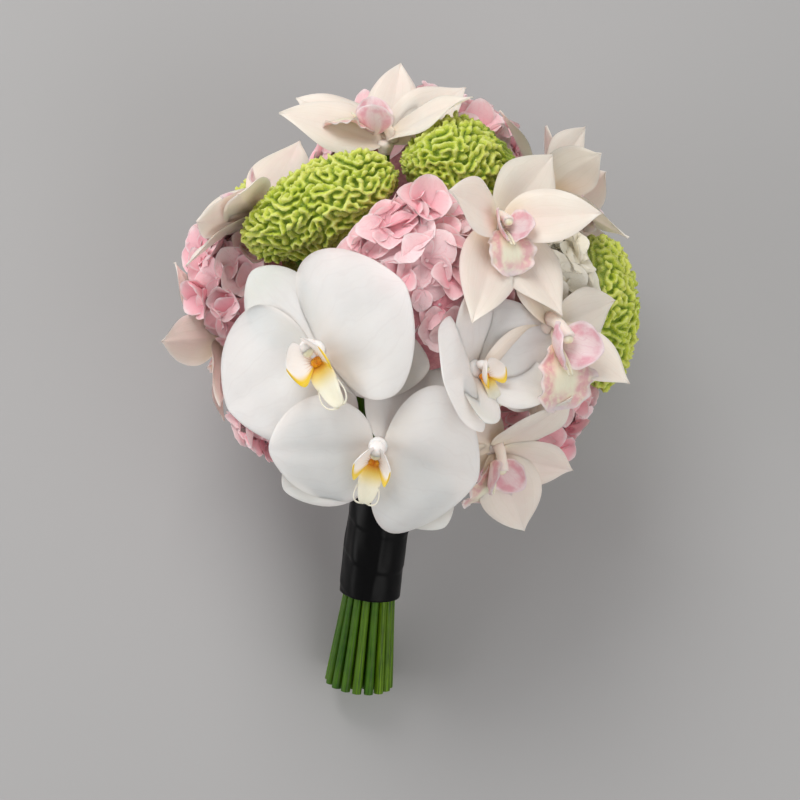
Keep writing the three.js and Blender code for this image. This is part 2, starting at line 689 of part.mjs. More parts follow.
// Laid on its back: the front turns up, and the origin goes to the middle of the underside.
const bouquet = new THREE.Group();
bunch.rotation.x = rad(restTilt - 90);
bouquet.add(bunch);
bouquet.updateMatrixWorld(true);
const bounds = new THREE.Box3().setFromObject(bouquet, true);
const middle = bounds.getCenter(vec(0, 0, 0));
bunch.position.set(-middle.x, -middle.y, -bounds.min.z);

export default bouquet;
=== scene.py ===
import math

import bpy
import numpy as np
from mathutils import Matrix, Quaternion, Vector
from mathutils.bvhtree import BVHTree


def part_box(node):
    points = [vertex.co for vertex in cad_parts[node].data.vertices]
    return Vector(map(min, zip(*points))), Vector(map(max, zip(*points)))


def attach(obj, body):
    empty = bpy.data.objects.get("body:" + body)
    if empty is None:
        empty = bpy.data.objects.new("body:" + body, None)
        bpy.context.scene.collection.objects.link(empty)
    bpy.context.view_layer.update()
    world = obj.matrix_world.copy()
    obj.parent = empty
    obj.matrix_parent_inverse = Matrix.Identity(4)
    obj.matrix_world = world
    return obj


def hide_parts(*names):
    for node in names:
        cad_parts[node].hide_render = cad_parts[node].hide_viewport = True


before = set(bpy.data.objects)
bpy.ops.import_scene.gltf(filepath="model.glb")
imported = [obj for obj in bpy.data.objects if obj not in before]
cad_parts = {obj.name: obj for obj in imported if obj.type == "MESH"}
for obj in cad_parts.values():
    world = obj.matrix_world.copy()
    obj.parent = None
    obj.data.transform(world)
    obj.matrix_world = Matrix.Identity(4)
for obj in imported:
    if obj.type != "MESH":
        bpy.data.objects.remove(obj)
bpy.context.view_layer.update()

# Placing

bunchPose = {
    "restTilt": 25,  # degrees between the bunch's axis and the table
    "tieBelowHead": 131,  # mm from the middle of the head down to the middle of the tape
    "tableClearance": 0.00015,  # metres that soft petals keep off the table
}

restTilt = math.radians(bunchPose["restTilt"])
bunchAxis = Vector((0, math.cos(restTilt), math.sin(restTilt)))
tieLow, tieHigh = (Vector(corner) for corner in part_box("tie"))
headCentre = (tieLow + tieHigh) / 2 + bunchAxis * bunchPose["tieBelowHead"] * 0.001
layDown = Matrix.Rotation(math.radians(bunchPose["restTilt"] - 90), 4, "X")
toRow = Matrix.Translation(headCentre) @ layDown @ Matrix.Scale(0.001, 4)


def towards(azimuth, tilt):
    a, t = math.radians(azimuth), math.radians(tilt)
    return Vector((math.sin(t) * math.sin(a), -math.sin(t) * math.cos(a), math.cos(t)))


def frameAt(place, facing, roll):
    up = (Vector((0, 0, 1)) - facing * facing.z).normalized()
    up.rotate(Quaternion(facing, math.radians(roll)))
    right = up.cross(facing)
    matrix = Matrix((right, up, facing)).transposed().to_4x4()
    matrix.translation = place
    return matrix


def draw(i, k):
    # a repeatable number from 0 to 1 for item i and purpose k
    s = math.sin(i * 12.9898 + k * 78.233) * 43758.5453
    return s - math.floor(s)


# The flowers. The first word of a name is its kind. At is azimuth, tilt and distance from the middle of
# the head, face is azimuth and tilt, and half gives a head's half-sizes. In an orchid, angles, top, sides and
# wings place the petals round the bloom, lay raises them, lean turns each about its own length, open and
# droop change how far it opens, broad and size change its petals, mouth its lip and column, and blush is how
# pink it is. A cockscomb's fan is where along it the fan starts and how softly, and voxel its faces' size.
flowers = [
    dict(name="moth_orchid_left", stem=("outer", 5), at=(-19.5, 94.5, 125), face=(-23, 83), roll=43,
         top=103, lay=(0, -24), sides=(232, 318), broad=((1.1, 1.03), (1.06, 1.14)), mouth=1.3, seed=31),
    dict(name="moth_orchid_low", stem=("outer", 6), at=(-2, 113, 138), face=(-3, 99), roll=-6, top=72,
         droop=4, lay=(-26, -6), wings=(198, 353), broad=((1.04, 0.8), (0.98, 1.14)), mouth=1.15, seed=32),
    dict(name="moth_orchid_right", stem=("outer", 8), at=(20, 95, 120), face=(41, 68), roll=14, size=0.74,
         open=28, lay=(0, 6), broad=((1.1, 1.08), (1.1, 1.08)), mouth=0.85, seed=33),
    dict(name="cymbidium_crown", stem=("inner", 2), at=(-31, 24, 100), face=(-26, 8), roll=300, size=1.1,
         angles=(116, 170, 62, 244, 280), lay=(14, 12, 8, 4, 0), lean=(38, 0, 26, -30, -45), blush=0.25,
         seed=1),
    dict(name="cymbidium_upper_left", stem=("outer", 4), at=(-64, 64, 103), face=(-95, 48), roll=270,
         broad=1.25, angles=(66, 100, 30, 220, 316), lay=(8, -6, -16, 2, 12), lean=(15, 0, 0, 50, -20),
         blush=0.6, seed=2),
    dict(name="cymbidium_upper_right", stem=("inner", 3), at=(25, 58, 119), face=(26, 62), size=1.05,
         broad=1.12, mouth=0.88, angles=(46, 176, 358, 248, 300), lay=(-20, 10, 9, -8, -10), blush=0.3,
         seed=3),
    dict(name="cymbidium_right", stem=("outer", 10), at=(38, 84, 123), face=(38, 82), mouth=1.22,
         angles=(14, 110, 322, 222, 276), lay=(-18, -34, 3, -30, -30), blush=0.15, seed=4),
    dict(name="cymbidium_low_right", stem=("outer", 9), at=(33, 119, 118), face=(40, 120), size=1.06,
         broad=1.15, angles=(76, 146, 354, 212, 306), lay=(4, -40, -5, -16, 16), blush=0.35, seed=5),
    dict(name="cymbidium_left", stem=("outer", 2), at=(-81.5, 107, 104), face=(-100, 100), roll=-70,
         angles=(78, 140, 30, 210, 318), lay=(4, 0, -31, 0, 0), blush=0.45, seed=6),
    dict(name="cymbidium_far_right", stem=("inner", 4), at=(68, 44, 104), face=(110, 45), broad=1.15,
         angles=(52, 166, 6, 225, 312), lay=(2, 9, 35, 0, 0), blush=0.1, seed=7),
    dict(name="cymbidium_back", stem=("outer", 14), at=(118, 60, 108), face=(116, 58), blush=0.5, seed=8),
    dict(name="hydrangea_front", stem=("outer", 7), at=(7, 80, 92), half=(43, 57, 28), florets=84, seed=11),
    dict(name="hydrangea_right", stem=("outer", 12), at=(78, 121, 91), half=(46, 43, 29), florets=56,
         seed=12),
    dict(name="hydrangea_left", stem=("outer", 1), at=(-86, 88, 94), half=(44, 43, 29), florets=56,
         seed=13),
    dict(name="hydrangea_low_left", stem=("outer", 3), at=(-68, 135, 87), half=(44, 41, 28), florets=52,
         seed=14),
    dict(name="hydrangea_white", stem=("outer", 11), at=(57, 77, 93), half=(36, 39, 27), florets=48,
         white=1, seed=15),
    dict(name="hydrangea_rest", stem=("outer", 0), at=(-146, 101, 91), half=(54, 50, 31), florets=66,
         seed=16),
    dict(name="hydrangea_back", stem=("inner", 5), at=(176, 31, 85), half=(60, 58, 33), florets=76,
         seed=17),
    dict(name="cockscomb_upper_left", stem=("inner", 1), at=(-38.5, 55.5, 99), half=(47, 24, 25), roll=42,
         seed=21),
    dict(name="cockscomb_top", stem=("inner", 6), at=(24, 30, 100), half=(34, 29, 26), roll=20, fan=(9, 5),
         seed=22),
    dict(name="cockscomb_right", stem=("outer", 13), at=(79, 85, 106), half=(46, 28, 28), roll=92, seed=23),
    dict(name="cockscomb_left", stem=("inner", 0), at=(-112, 70, 92), half=(38, 36, 28), roll=60, seed=24),
    dict(name="cockscomb_rest", stem=("outer", 15), at=(146, 102, 96), half=(50, 47, 30), roll=90,
         voxel=0.00101, seed=25),
]

for flower in flowers:
    flower["kind"] = flower["name"].split("_")[0]
    azimuth, tilt, reach = flower["at"]
    flower["facing"] = towards(*flower.get("face", (azimuth, tilt)))
    flower["frame"] = frameAt(towards(azimuth, tilt) * reach, flower["facing"], flower.get("roll", 0))


# Mesh building

def placed(points, matrix):
    m = np.array(matrix)
    return points @ m[:3, :3].T + m[:3, 3]


def mapGrid(along, across, tint):
    # the map of a grid of points, from a column of values along it, a row across it and a tint
    return np.stack(np.broadcast_arrays(along, across, tint), -1)


def gridFaces(rows, columns, closed=False, flip=False):
    across = columns if closed else columns - 1
    r, c = np.meshgrid(np.arange(rows - 1), np.arange(across), indexing="ij")
    nextC = (c + 1) % columns
    here, above = r * columns, (r + 1) * columns
    quads = np.stack([here + c, above + c, above + nextC, here + nextC], -1).reshape(-1, 4)
    return quads[:, ::-1] if flip else quads


class Pile:
    # Gathers sheets, tubes and lumps in mm. Every vertex carries a map: along, across and a tint.
    def __init__(self):
        self.points, self.maps, self.faces, self.slots, self.count = [], [], [], [], 0

    def add(self, points, maps, faces, slot=0, matrix=None):
        points = np.asarray(points, float).reshape(-1, 3)
        self.points.append(points if matrix is None else placed(points, matrix))
        self.maps.append(np.asarray(maps, float).reshape(-1, 3))
        self.faces.append(faces + self.count)
        self.slots.append(np.full(len(faces), slot))
        self.count += len(points)

    def arrays(self):
        return np.concatenate(self.points), np.concatenate(self.maps), np.concatenate(self.faces)


def markMap(mesh, maps):
    mesh.attributes.new("petalMap", "FLOAT_VECTOR", "POINT").data.foreach_set("vector", maps.ravel())


def enter(piece, node):
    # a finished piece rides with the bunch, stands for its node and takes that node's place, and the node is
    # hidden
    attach(piece, "root")
    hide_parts(node)
    return piece


def makePiece(name, pile, materials, node, matrix=Matrix()):
    points, maps, faces = pile.arrays()
    world = placed(points, toRow @ matrix)
    world[:, 2] = np.maximum(world[:, 2], bunchPose["tableClearance"])
    mesh = bpy.data.meshes.new(name)
    mesh.vertices.add(len(world))
    mesh.vertices.foreach_set("co", world.ravel())
    mesh.loops.add(faces.size)
    mesh.loops.foreach_set("vertex_index", faces.ravel())
    mesh.polygons.add(len(faces))
    mesh.polygons.foreach_set("loop_start", np.arange(0, faces.size, 4))
    mesh.polygons.foreach_set("loop_total", np.full(len(faces), 4))
    mesh.polygons.foreach_set("material_index", np.concatenate(pile.slots))
    mesh.polygons.foreach_set("use_smooth", np.ones(len(faces), bool))
    markMap(mesh, maps)
    mesh.update(calc_edges=True)
    mesh.validate()
    piece = bpy.data.objects.new(name, mesh)
    bpy.context.collection.objects.link(piece)
    for material in materials:
        mesh.materials.append(material)
    return enter(piece, node)


# Petal blades

# half widths along a blade, from 0 at the root to 1 at the tip
outlines = {
    "round": lambda u: np.sin(np.pi * u) ** 0.5,
    "oval": lambda u: np.sin(np.pi * u ** 0.95) ** 0.62,
    "pointed": lambda u: np.sin(np.pi * u ** 0.84) ** (0.62 + 0.5 * u),
    "tongue": lambda u: np.sin(np.pi * u ** 1.2) ** 0.55,
    "sepal": lambda u: np.sin(np.pi * u ** 0.8) ** 0.55 * (1 - 0.12 * u ** 6),
    "strap": lambda u: (1 - 0.42 * u) * np.sin(np.pi * u) ** 0.25,
    "ear": lambda u: np.sin(np.pi * u ** 1.5) ** 0.6,
}

# what a blade is without other values: angles in degrees, lengths in mm, shares of the half width
plainBlade = dict(
    root=2, thick=0.6,  # where it starts, and its thickness
    slope=0, lift=0, curl=0, lean=0, turn=0,  # how it rises, bends, leans and twists
    cup=0, sweep=0,  # how its sides rise and draw back
    wave=0, waves=3, phase=0, frill=0, frills=9, swell=0, crease=0, claw=0, roll=0,  # its finer forms
    seed=0, tint=0.5,
)

bladeForm = {
    "ends": (0.012, 0.988),  # a blade's first and last row, before they are spaced closer towards its ends
    "fold": 0.16,  # width of the fold along the middle, as a share of the half width
    "claw": 0.16,  # how far from the root a claw reaches, as a share of the length
    "rolled": 0.45,  # share of the half width that turns back at the edge
    "swells": 3,
    "rim": 0.04,  # mm, half the thickness at the very edge
}


def spine(spec, u):
    # the line along a blade's middle: how far out, how high and how steep it is at shares u of its length
    def slopeAt(share):
        return np.radians(spec["lift"] + spec["curl"] * share)

    def summed(part):
        return np.concatenate([[0], np.cumsum(0.5 * (part[1:] + part[:-1]))]) / (len(part) - 1)

    fine = np.linspace(0, 1, 201)
    x = spec["root"] + spec["length"] * np.interp(u, fine, summed(np.cos(slopeAt(fine))))
    z = spec["length"] * np.interp(u, fine, summed(np.sin(slopeAt(fine))))
    return x[:, None], z[:, None], slopeAt(u)[:, None]


def riseOf(spec, u, v, reach):
    # how far a blade stands off the plane through its spine: its cup and waves, then the finer forms
    form, seed, belly = bladeForm, spec["seed"], np.sin(np.pi * u)
    rise = spec["cup"] * reach * v ** 2
    waves = np.sin(spec["waves"] * np.pi * u + spec["phase"] + v)
    rise = rise + spec["wave"] * waves * v ** 2
    rise = rise - spec["crease"] * np.exp(-(v / form["fold"]) ** 2) * belly ** 0.7
    rise = rise - spec["claw"] * np.exp(-(u / form["claw"]) ** 2)
    for k in range(form["swells"]):
        swell = np.sin((1.3 + 1.1 * k) * np.pi * u + 6.3 * draw(seed, k))
        swell = swell * np.cos((0.9 + k) * 1.7 * v + 6.3 * draw(seed, k + 9))
        rise = rise + spec["swell"] / (k + 1) * swell * belly * (0.25 + v ** 2)
    frill = np.sin(spec["frills"] * np.pi * u + 2.4 * v + 6.3 * draw(seed, 4))
    rise = rise + spec["frill"] * frill * np.abs(v) ** 4 * belly ** 0.5
    edge = np.clip((np.abs(v) - 1 + form["rolled"]) / form["rolled"], 0, 1)
    return rise - spec["roll"] * edge ** 2 * reach * belly


def bladeGrid(spec, along, across):
    # the middle surface of a petal that leaves the origin along +X and faces +Z
    spec = {**plainBlade, **spec}
    u = 0.5 - 0.5 * np.cos(np.pi * np.linspace(*bladeForm["ends"], along + 1))
    x, z, slope = spine(spec, u)
    reach = (spec["width"] / 2 * outlines[spec["outline"]](u))[:, None]
    u, v = u[:, None], np.linspace(-1, 1, across + 1)[None, :]
    back = spec["sweep"] * reach * v ** 2
    rise = riseOf(spec, u, v, reach)
    turn = np.radians(spec["turn"]) * u
    side = reach * v * np.cos(turn) - rise * np.sin(turn)
    rise = reach * v * np.sin(turn) + rise * np.cos(turn)
    out = x - np.cos(slope) * back - np.sin(slope) * rise
    points = np.stack([out, side, z - np.sin(slope) * back + np.cos(slope) * rise], -1)
    return points, mapGrid(u, v, spec["tint"])


def addSheet(pile, points, maps, thick, slot, matrix):
    # two skins a petal's thickness apart, which thin out to a fine edge all round
    rows, columns = points.shape[:2]
    normal = np.cross(np.gradient(points, axis=0), np.gradient(points, axis=1))
    normal /= np.maximum(np.linalg.norm(normal, axis=-1, keepdims=True), 1e-9)
    s = np.linspace(-1, 1, columns)[None, :]
    t = np.linspace(0, 1, rows)[:, None]
    fade = np.clip((1 - np.abs(s)) / 0.3, 0, 1) ** 0.5
    fade = fade * np.clip(t / 0.05, 0, 1) ** 0.5 * np.clip((1 - t) / 0.1, 0, 1) ** 0.5
    offset = normal * (thick / 2 * fade + bladeForm["rim"])[..., None]
    faces = gridFaces(rows, columns)
    pile.add(points + offset, maps, faces, slot, matrix)
    pile.add(points - offset, maps, faces[:, ::-1], slot, matrix)


def petalMatrix(angle, height, slope=0, lean=0):
    # slope raises the whole petal, and lean then turns it about its own length
    turn = Matrix.Translation((0, 0, height)) @ Matrix.Rotation(math.radians(angle), 4, "Z")
    return turn @ Matrix.Rotation(math.radians(-slope), 4, "Y") @ Matrix.Rotation(math.radians(lean), 4, "X")


def addPetal(pile, angle, height, spec, grid, slot=0, lift=Matrix()):
    spec = {**plainBlade, **spec}
    points, maps = bladeGrid(spec, *grid)
    matrix = petalMatrix(angle, height, spec["slope"], spec["lean"])
    addSheet(pile, points, maps, spec["thick"], slot, lift @ matrix)


def addLump(pile, radii, matrix, slot=0, tint=0.5, around=18, rings=12, shape=lambda turn, polar: 1):
    # an egg, with a function that gives its radius share by turn and height
    polar = np.linspace(0.02, math.pi - 0.02, rings + 1)[:, None]
    turn = np.linspace(0, 2 * math.pi, around, endpoint=False)[None, :]
    share = shape(turn, polar)
    points = np.stack([
        np.sin(polar) * np.cos(turn) * radii[0] * share,
        np.sin(polar) * np.sin(turn) * radii[1] * share,
        np.cos(polar) * radii[2] * share + 0 * turn,
    ], -1)
    maps = mapGrid(polar / math.pi, np.cos(turn), tint)
    pile.add(points, maps, gridFaces(rings + 1, around, closed=True), slot, matrix)


def addTube(pile, path, radii, slot=0, tint=0.5, around=8, capped=False, matrix=None, squash=None, mapFrom=0):
    # a round tube along points; a capped one is closed at both ends
    path = np.asarray(path, float)
    tangent = np.gradient(path, axis=0)
    tangent /= np.linalg.norm(tangent, axis=1, keepdims=True)
    side = np.cross(tangent[0], [0.31, 0.2, 0.93])
    side /= np.linalg.norm(side)
    rings = []
    turn = np.linspace(0, 2 * math.pi, around, endpoint=False)
    for point, forward, radius in zip(path, tangent, radii):
        side = side - forward * np.dot(side, forward)
        side /= np.linalg.norm(side)
        other = np.cross(forward, side)
        wide = radius * (squash(turn) if squash else np.ones(around))
        rings.append(point + np.outer(np.cos(turn) * wide, side) + np.outer(np.sin(turn) * wide, other))
    rings = np.array(rings)
    if capped:
        first, last = ([path[k] + (rings[k] - path[k]) * share for share in (0.02, 0.6)] for k in (0, -1))
        rings = np.concatenate([first, rings, last[::-1]])
    maps = mapGrid(np.linspace(mapFrom, 1, len(rings))[:, None], np.cos(turn)[None], tint)
    pile.add(rings, maps, gridFaces(len(rings), around, closed=True, flip=True), slot, matrix)
    return rings


# Materials

def rgb(text):
    # a hex colour as it is seen, turned to the linear light that shaders use
    parts = [int(text[i:i + 2], 16) / 255 for i in (1, 3, 5)]
    return (*[p / 12.92 if p <= 0.04045 else ((p + 0.055) / 1.055) ** 2.4 for p in parts], 1)


class Wires:
    # short calls for making nodes and links in one tree
    def __init__(self, tree):
        self.tree = tree

    def plug(self, source, socket):
        # a link from another node, or else a fixed number or colour
        if isinstance(source, bpy.types.NodeSocket):
            self.tree.links.new(source, socket)
        else:
            socket.default_value = rgb(source) if isinstance(source, str) else source

    def node(self, kind, **values):
        made = self.tree.nodes.new("ShaderNode" + kind)
        for key, value in values.items():
            setattr(made, key, value)
        return made

    def feed(self, node, **sources):
        for key, source in sources.items():
            self.plug(source, node.inputs[key.replace("_", " ")])
        return node

    def math(self, operation, a, b=0.0):
        made = self.node("Math", operation=operation)
        for socket, source in zip(made.inputs, (a, b)):
            self.plug(source, socket)
        return made.outputs[0]

    def times(self, a, b):
        return self.math("MULTIPLY", a, b)

    def mix(self, share, a, b):
        made = self.node("Mix", data_type="RGBA")
        for index, source in ((0, share), (6, a), (7, b)):
            self.plug(source, made.inputs[index])
        return made.outputs[2]

    def spread(self, value, low, high, start=0.0, end=1.0):
        made = self.node("MapRange", interpolation_type="SMOOTHSTEP")
        for socket, source in zip(made.inputs, (value, low, high, start, end)):
            self.plug(source, socket)
        return made.outputs[0]

    def place(self):
        return self.node("TexCoord").outputs["Object"]

    def noise(self, place, scale, detail, roughness=0.5):
        made = self.node("TexNoise")
        return self.feed(made, Vector=place, Scale=scale, Detail=detail, Roughness=roughness).outputs[0]

    def cells(self, place, scale):
        return self.feed(self.node("TexVoronoi"), Vector=place, Scale=scale).outputs["Distance"]

    def mottle(self, scale):
        return self.feed(self.node("Group", node_tree=mottleGroup), Scale=scale).outputs

    def lines(self, across, count):
        # 0 on each of a number of lines across a petal, and 1 between them
        return self.math("ABSOLUTE", self.math("SINE", self.times(across, count)))


class Finish(Wires):
    # one material with its own tree and shader
    def __init__(self, name):
        self.material = bpy.data.materials.new(name)
        self.material.use_nodes = True
        super().__init__(self.material.node_tree)

    def readMap(self):
        self.map = self.node("Attribute", attribute_name="petalMap").outputs["Vector"]
        self.along, self.across, self.tint = self.feed(self.node("SeparateXYZ"), Vector=self.map).outputs

    def finished(self, colour, relief, **values):
        # relief is a height with its strength and its depth in metres
        shader = self.tree.nodes["Principled BSDF"]
        if relief:
            height, strength, depth = relief
            bump = self.feed(self.node("Bump"), Height=height, Strength=strength, Distance=depth)
            values["Normal"] = bump.outputs[0]
        self.feed(shader, Base_Color=colour, **values)
        return self.material


def groupOf(name, inputs, outputs):
    group = bpy.data.node_groups.new(name, "ShaderNodeTree")
    for label, kind, value in inputs:
        socket = group.interface.new_socket(name=label, in_out="INPUT", socket_type="NodeSocket" + kind)
        if value is not None:
            socket.default_value = value
    for label in outputs:
        group.interface.new_socket(name=label, in_out="OUTPUT", socket_type="NodeSocketFloat")
    return group, Wires(group), group.nodes.new("NodeGroupInput").outputs, group.nodes.new("NodeGroupOutput")


def makeVeins():
    # fine lines that run from a petal's root to its tip, in two sizes, and their relief
    group, w, given, made = groupOf(
        "petalVeins",
        [("Map", "Vector", None), ("Lines", "Float", 14.0), ("Wander", "Float", 0.5)],
        ["Mask", "Height"],
    )
    parts = w.feed(w.node("SeparateXYZ"), Vector=given["Map"])
    bend = w.times(w.math("SUBTRACT", w.noise(given["Map"], 3.5, 2.0), 0.5), given["Wander"])
    place = w.math("ADD", parts.outputs[1], bend)
    coarse = w.spread(w.lines(place, given["Lines"]), 0.0, 0.35, 1.0, 0.0)
    fine = w.spread(w.lines(place, w.times(given["Lines"], 3.1)), 0.0, 0.5, 0.45, 0.0)
    both = w.math("MAXIMUM", coarse, fine)
    w.feed(made, Mask=both, Height=both)
    return group


def makeMottle():
    # cloudy colour change and a fine cell grain, both by place on the piece
    group, w, given, made = groupOf(
        "mottle",
        [("Scale", "Float", 60.0), ("Grain Scale", "Float", 1800.0)],
        ["Mask", "Grain"],
    )
    place = w.place()
    cloud = w.noise(place, given["Scale"], 4.0, roughness=0.6)
    w.feed(made, Mask=w.spread(cloud, 0.3, 0.7), Grain=w.cells(place, given["Grain Scale"]))
    return group


veinGroup = makeVeins()
mottleGroup = makeMottle()


def petalMaterial(name, colours, lines=14.0, wander=0.5, veinShare=0.12, roughness=0.5, subsurface=0.55,
                  sheen=0.03, edge=0.0, extra=None, relief=0.12):
    main, root, vein, cloud, rim = colours
    w = Finish(name)
    w.readMap()
    veins = w.feed(w.node("Group", node_tree=veinGroup), Map=w.map, Lines=lines, Wander=wander).outputs
    w.clouds, grain = w.mottle(55.0)
    # towards the root each petal takes its second colour: its own tone, and on moth petals painted shade near
    # the column
    colour = w.mix(w.spread(w.along, 0.0, 0.4, 1.0, 0.0), main, root)
    colour = w.mix(w.times(w.clouds, 0.5), colour, cloud)
    if extra:
        colour = extra(w, colour)
    atRim = w.spread(w.math("MAXIMUM", w.math("ABSOLUTE", w.across), w.along), 0.8, 0.99)
    colour = w.mix(w.times(atRim, edge), colour, rim)
    colour = w.mix(w.times(veins["Mask"], veinShare), colour, vein)
    height = w.math("ADD", w.times(veins["Height"], 0.6), w.times(grain, 0.4))
    return w.finished(
        colour, (height, relief, 0.0006),
        Roughness=w.spread(w.clouds, 0.0, 1.0, roughness - 0.05, roughness + 0.08),
        Subsurface_Weight=subsurface, Subsurface_Radius=(1.0, 0.8, 0.72), Subsurface_Scale=0.006,
        Sheen_Weight=sheen, Specular_IOR_Level=0.35,
    )


def blushing(pink, most):
    # a pink flush that grows with a bloom's tint, stronger along the middle and in the clouds
    def extra(w, colour):
        middle = w.spread(w.math("ABSOLUTE", w.across), 0.1, 0.9, 1.0, 0.35)
        share = w.times(w.times(w.tint, middle), most)
        return w.mix(w.times(share, w.spread(w.clouds, 0.0, 1.0, 0.6, 1.0)), colour, pink)
    return extra


def greenTipAndShade(w, colour):
    # the faint green-grey of a moth orchid's outer sepals towards their tips, partly their own tint and
    # partly painted shade on them
    share = w.times(w.spread(w.along, 0.45, 1.0), w.spread(w.tint, 0.5, 1.0, 0.0, 0.75))
    return w.mix(share, colour, "#dfe3d3")


def throatColours(w, colour):
    # a cymbidium lip: yellow-cream in the middle, rose patches beside it, and a pale frilled rim
    side = w.math("ABSOLUTE", w.across)
    spots = w.noise(w.place(), 260.0, 3.0)
    patch = w.times(w.spread(side, 0.28, 0.55), w.spread(side, 0.82, 1.0, 1.0, 0.25))
    patch = w.times(patch, w.spread(spots, 0.3, 0.62, 0.35, 1.0))
    tip = w.times(w.spread(w.along, 0.6, 0.85), w.spread(w.along, 0.93, 1.0, 1.0, 0.4))
    patch = w.math("MAXIMUM", patch, w.times(tip, w.spread(spots, 0.35, 0.65, 0.2, 0.9)))
    return w.mix(w.times(patch, 0.8), colour, "#e093a6")


def earColours(w, colour):
    # a moth orchid's ears: white, with a yellow lower edge and dull red lines towards the root
    lowerEdge = w.times(w.across, w.spread(w.tint, 0.4, 0.6, -1.0, 1.0))
    colour = w.mix(w.spread(lowerEdge, 0.42, 0.82), colour, "#f2c21c")
    red = w.spread(w.lines(w.across, 13.0), 0.0, 0.5, 1.0, 0.0)
    red = w.times(red, w.spread(w.along, 0.12, 0.45, 1.0, 0.0))
    return w.mix(w.times(red, 0.7), colour, "#b4532a")


def tongueColours(w, colour):
    # its middle lobe: orange at the root, cream-yellow and then white
    colour = w.mix(w.spread(w.along, 0.1, 0.62, 1.0, 0.0), colour, "#f3c94a")
    return w.mix(w.spread(w.along, 0.02, 0.25, 1.0, 0.0), colour, "#e8921b")


def floretColours(deep, pale):
    # each floret has its own depth of colour, and its sepals pale towards their tips
    def extra(w, colour):
        colour = w.mix(w.spread(w.tint, 0.0, 0.45, 0.75, 0.0), colour, deep)
        colour = w.mix(w.spread(w.tint, 0.55, 1.0, 0.0, 0.85), colour, pale)
        return w.mix(w.spread(w.along, 0.5, 1.0, 0.0, 0.35), colour, pale)
    return extra


# Each petal's colours are its main one, towards the root, the veins, the clouds and the rim. On moth petals
# the darker colour towards the root is painted shade near the column.
floretFinish = dict(lines=8.0, wander=0.9, roughness=0.6, sheen=0.05, relief=0.25, subsurface=0.3)
petalFinishes = {
    # moth petals: the second colour, darker towards the root, is painted shade near the column
    "mothPetal": dict(
        colours=["#f7f0eb", "#e8dbcf", "#ece3de", "#f1e9e4", "#fbf8f5"], lines=11.0, veinShare=0.25,
        relief=0.04, edge=0.4, subsurface=0.65, extra=greenTipAndShade),
    "cymbidiumPetal": dict(
        colours=["#faeddd", "#f6e8c8", "#f0dfcc", "#f8e6d4", "#fef8ee"], lines=9.0, wander=0.25,
        veinShare=0.3, roughness=0.42, edge=0.3, subsurface=0.5, extra=blushing("#f2c4c6", 0.75)),
    "mothColumn": dict(colours=["#f6f3f2", "#efe7dc", "#e7dfe0", "#f1ecea", "#f8f6f6"], roughness=0.4),
    "cymbidiumColumn": dict(
        colours=["#f9ece0", "#f5d6d4", "#efc6cb", "#f8e5db", "#fbf5ea"], roughness=0.4, veinShare=0.3),
    "antherCap": dict(colours=["#f6f0d2", "#f1e6b4", "#e9dca6", "#f5efd8", "#faf6e6"], roughness=0.35),
    "mothEar": dict(
        colours=["#f8f3f0", "#f4dfc4", "#e7d2cf", "#f3ebe8", "#faf7f5"], roughness=0.4, extra=earColours),
    "mothTongue": dict(
        colours=["#f7f1d8", "#efa321", "#e9d9a2", "#f5edcf", "#faf6e6"], roughness=0.4, extra=tongueColours),
    "cymbidiumLip": dict(
        colours=["#f8f0d2", "#f3e4aa", "#edd0b4", "#f6ebcf", "#fae4e8"], roughness=0.38, edge=0.85,
        lines=17.0, veinShare=0.18, extra=throatColours),
    "cymbidiumEar": dict(
        colours=["#f6dde1", "#f5e6cd", "#e3a6ba", "#f2d3da", "#fae6ea"], roughness=0.38, edge=0.8,
        lines=12.0, veinShare=0.3, extra=throatColours),
    "pinkFloret": dict(
        floretFinish, colours=["#ffcad1", "#fca7b5", "#f8b2bc", "#ffd9dd", "#fff1f3"], veinShare=0.35,
        edge=0.7, extra=floretColours("#fc9fb0", "#ffe8ea")),
    "whiteFloret": dict(
        floretFinish, colours=["#fdf6e4", "#f4edcc", "#ede4cb", "#faf2de", "#fffcf2"], veinShare=0.3,
        edge=0.5, extra=floretColours("#f3ead0", "#fefaee")),
}


def callusMaterial():
    # the wart in a moth orchid's throat: orange-yellow with dark red specks
    w = Finish("mothCallus")
    place = w.place()
    specks = w.cells(place, 1150.0)
    colour = w.mix(w.spread(w.noise(place, 300.0, 3.0), 0.35, 0.65), "#f4b21a", "#e8850f")
    colour = w.mix(w.spread(specks, 0.18, 0.34, 0.9, 0.0), colour, "#a8371a")
    return w.finished(
        colour, (specks, 0.4, 0.0005), Roughness=0.4, Subsurface_Weight=0.15, Subsurface_Scale=0.002)


def coreMaterial(name, light, dark):
    # the shade between the florets
    w = Finish(name)
    clouds = w.mottle(160.0)["Mask"]
    return w.finished(w.mix(clouds, light, dark), (clouds, 0.6, 0.002), Roughness=0.85)


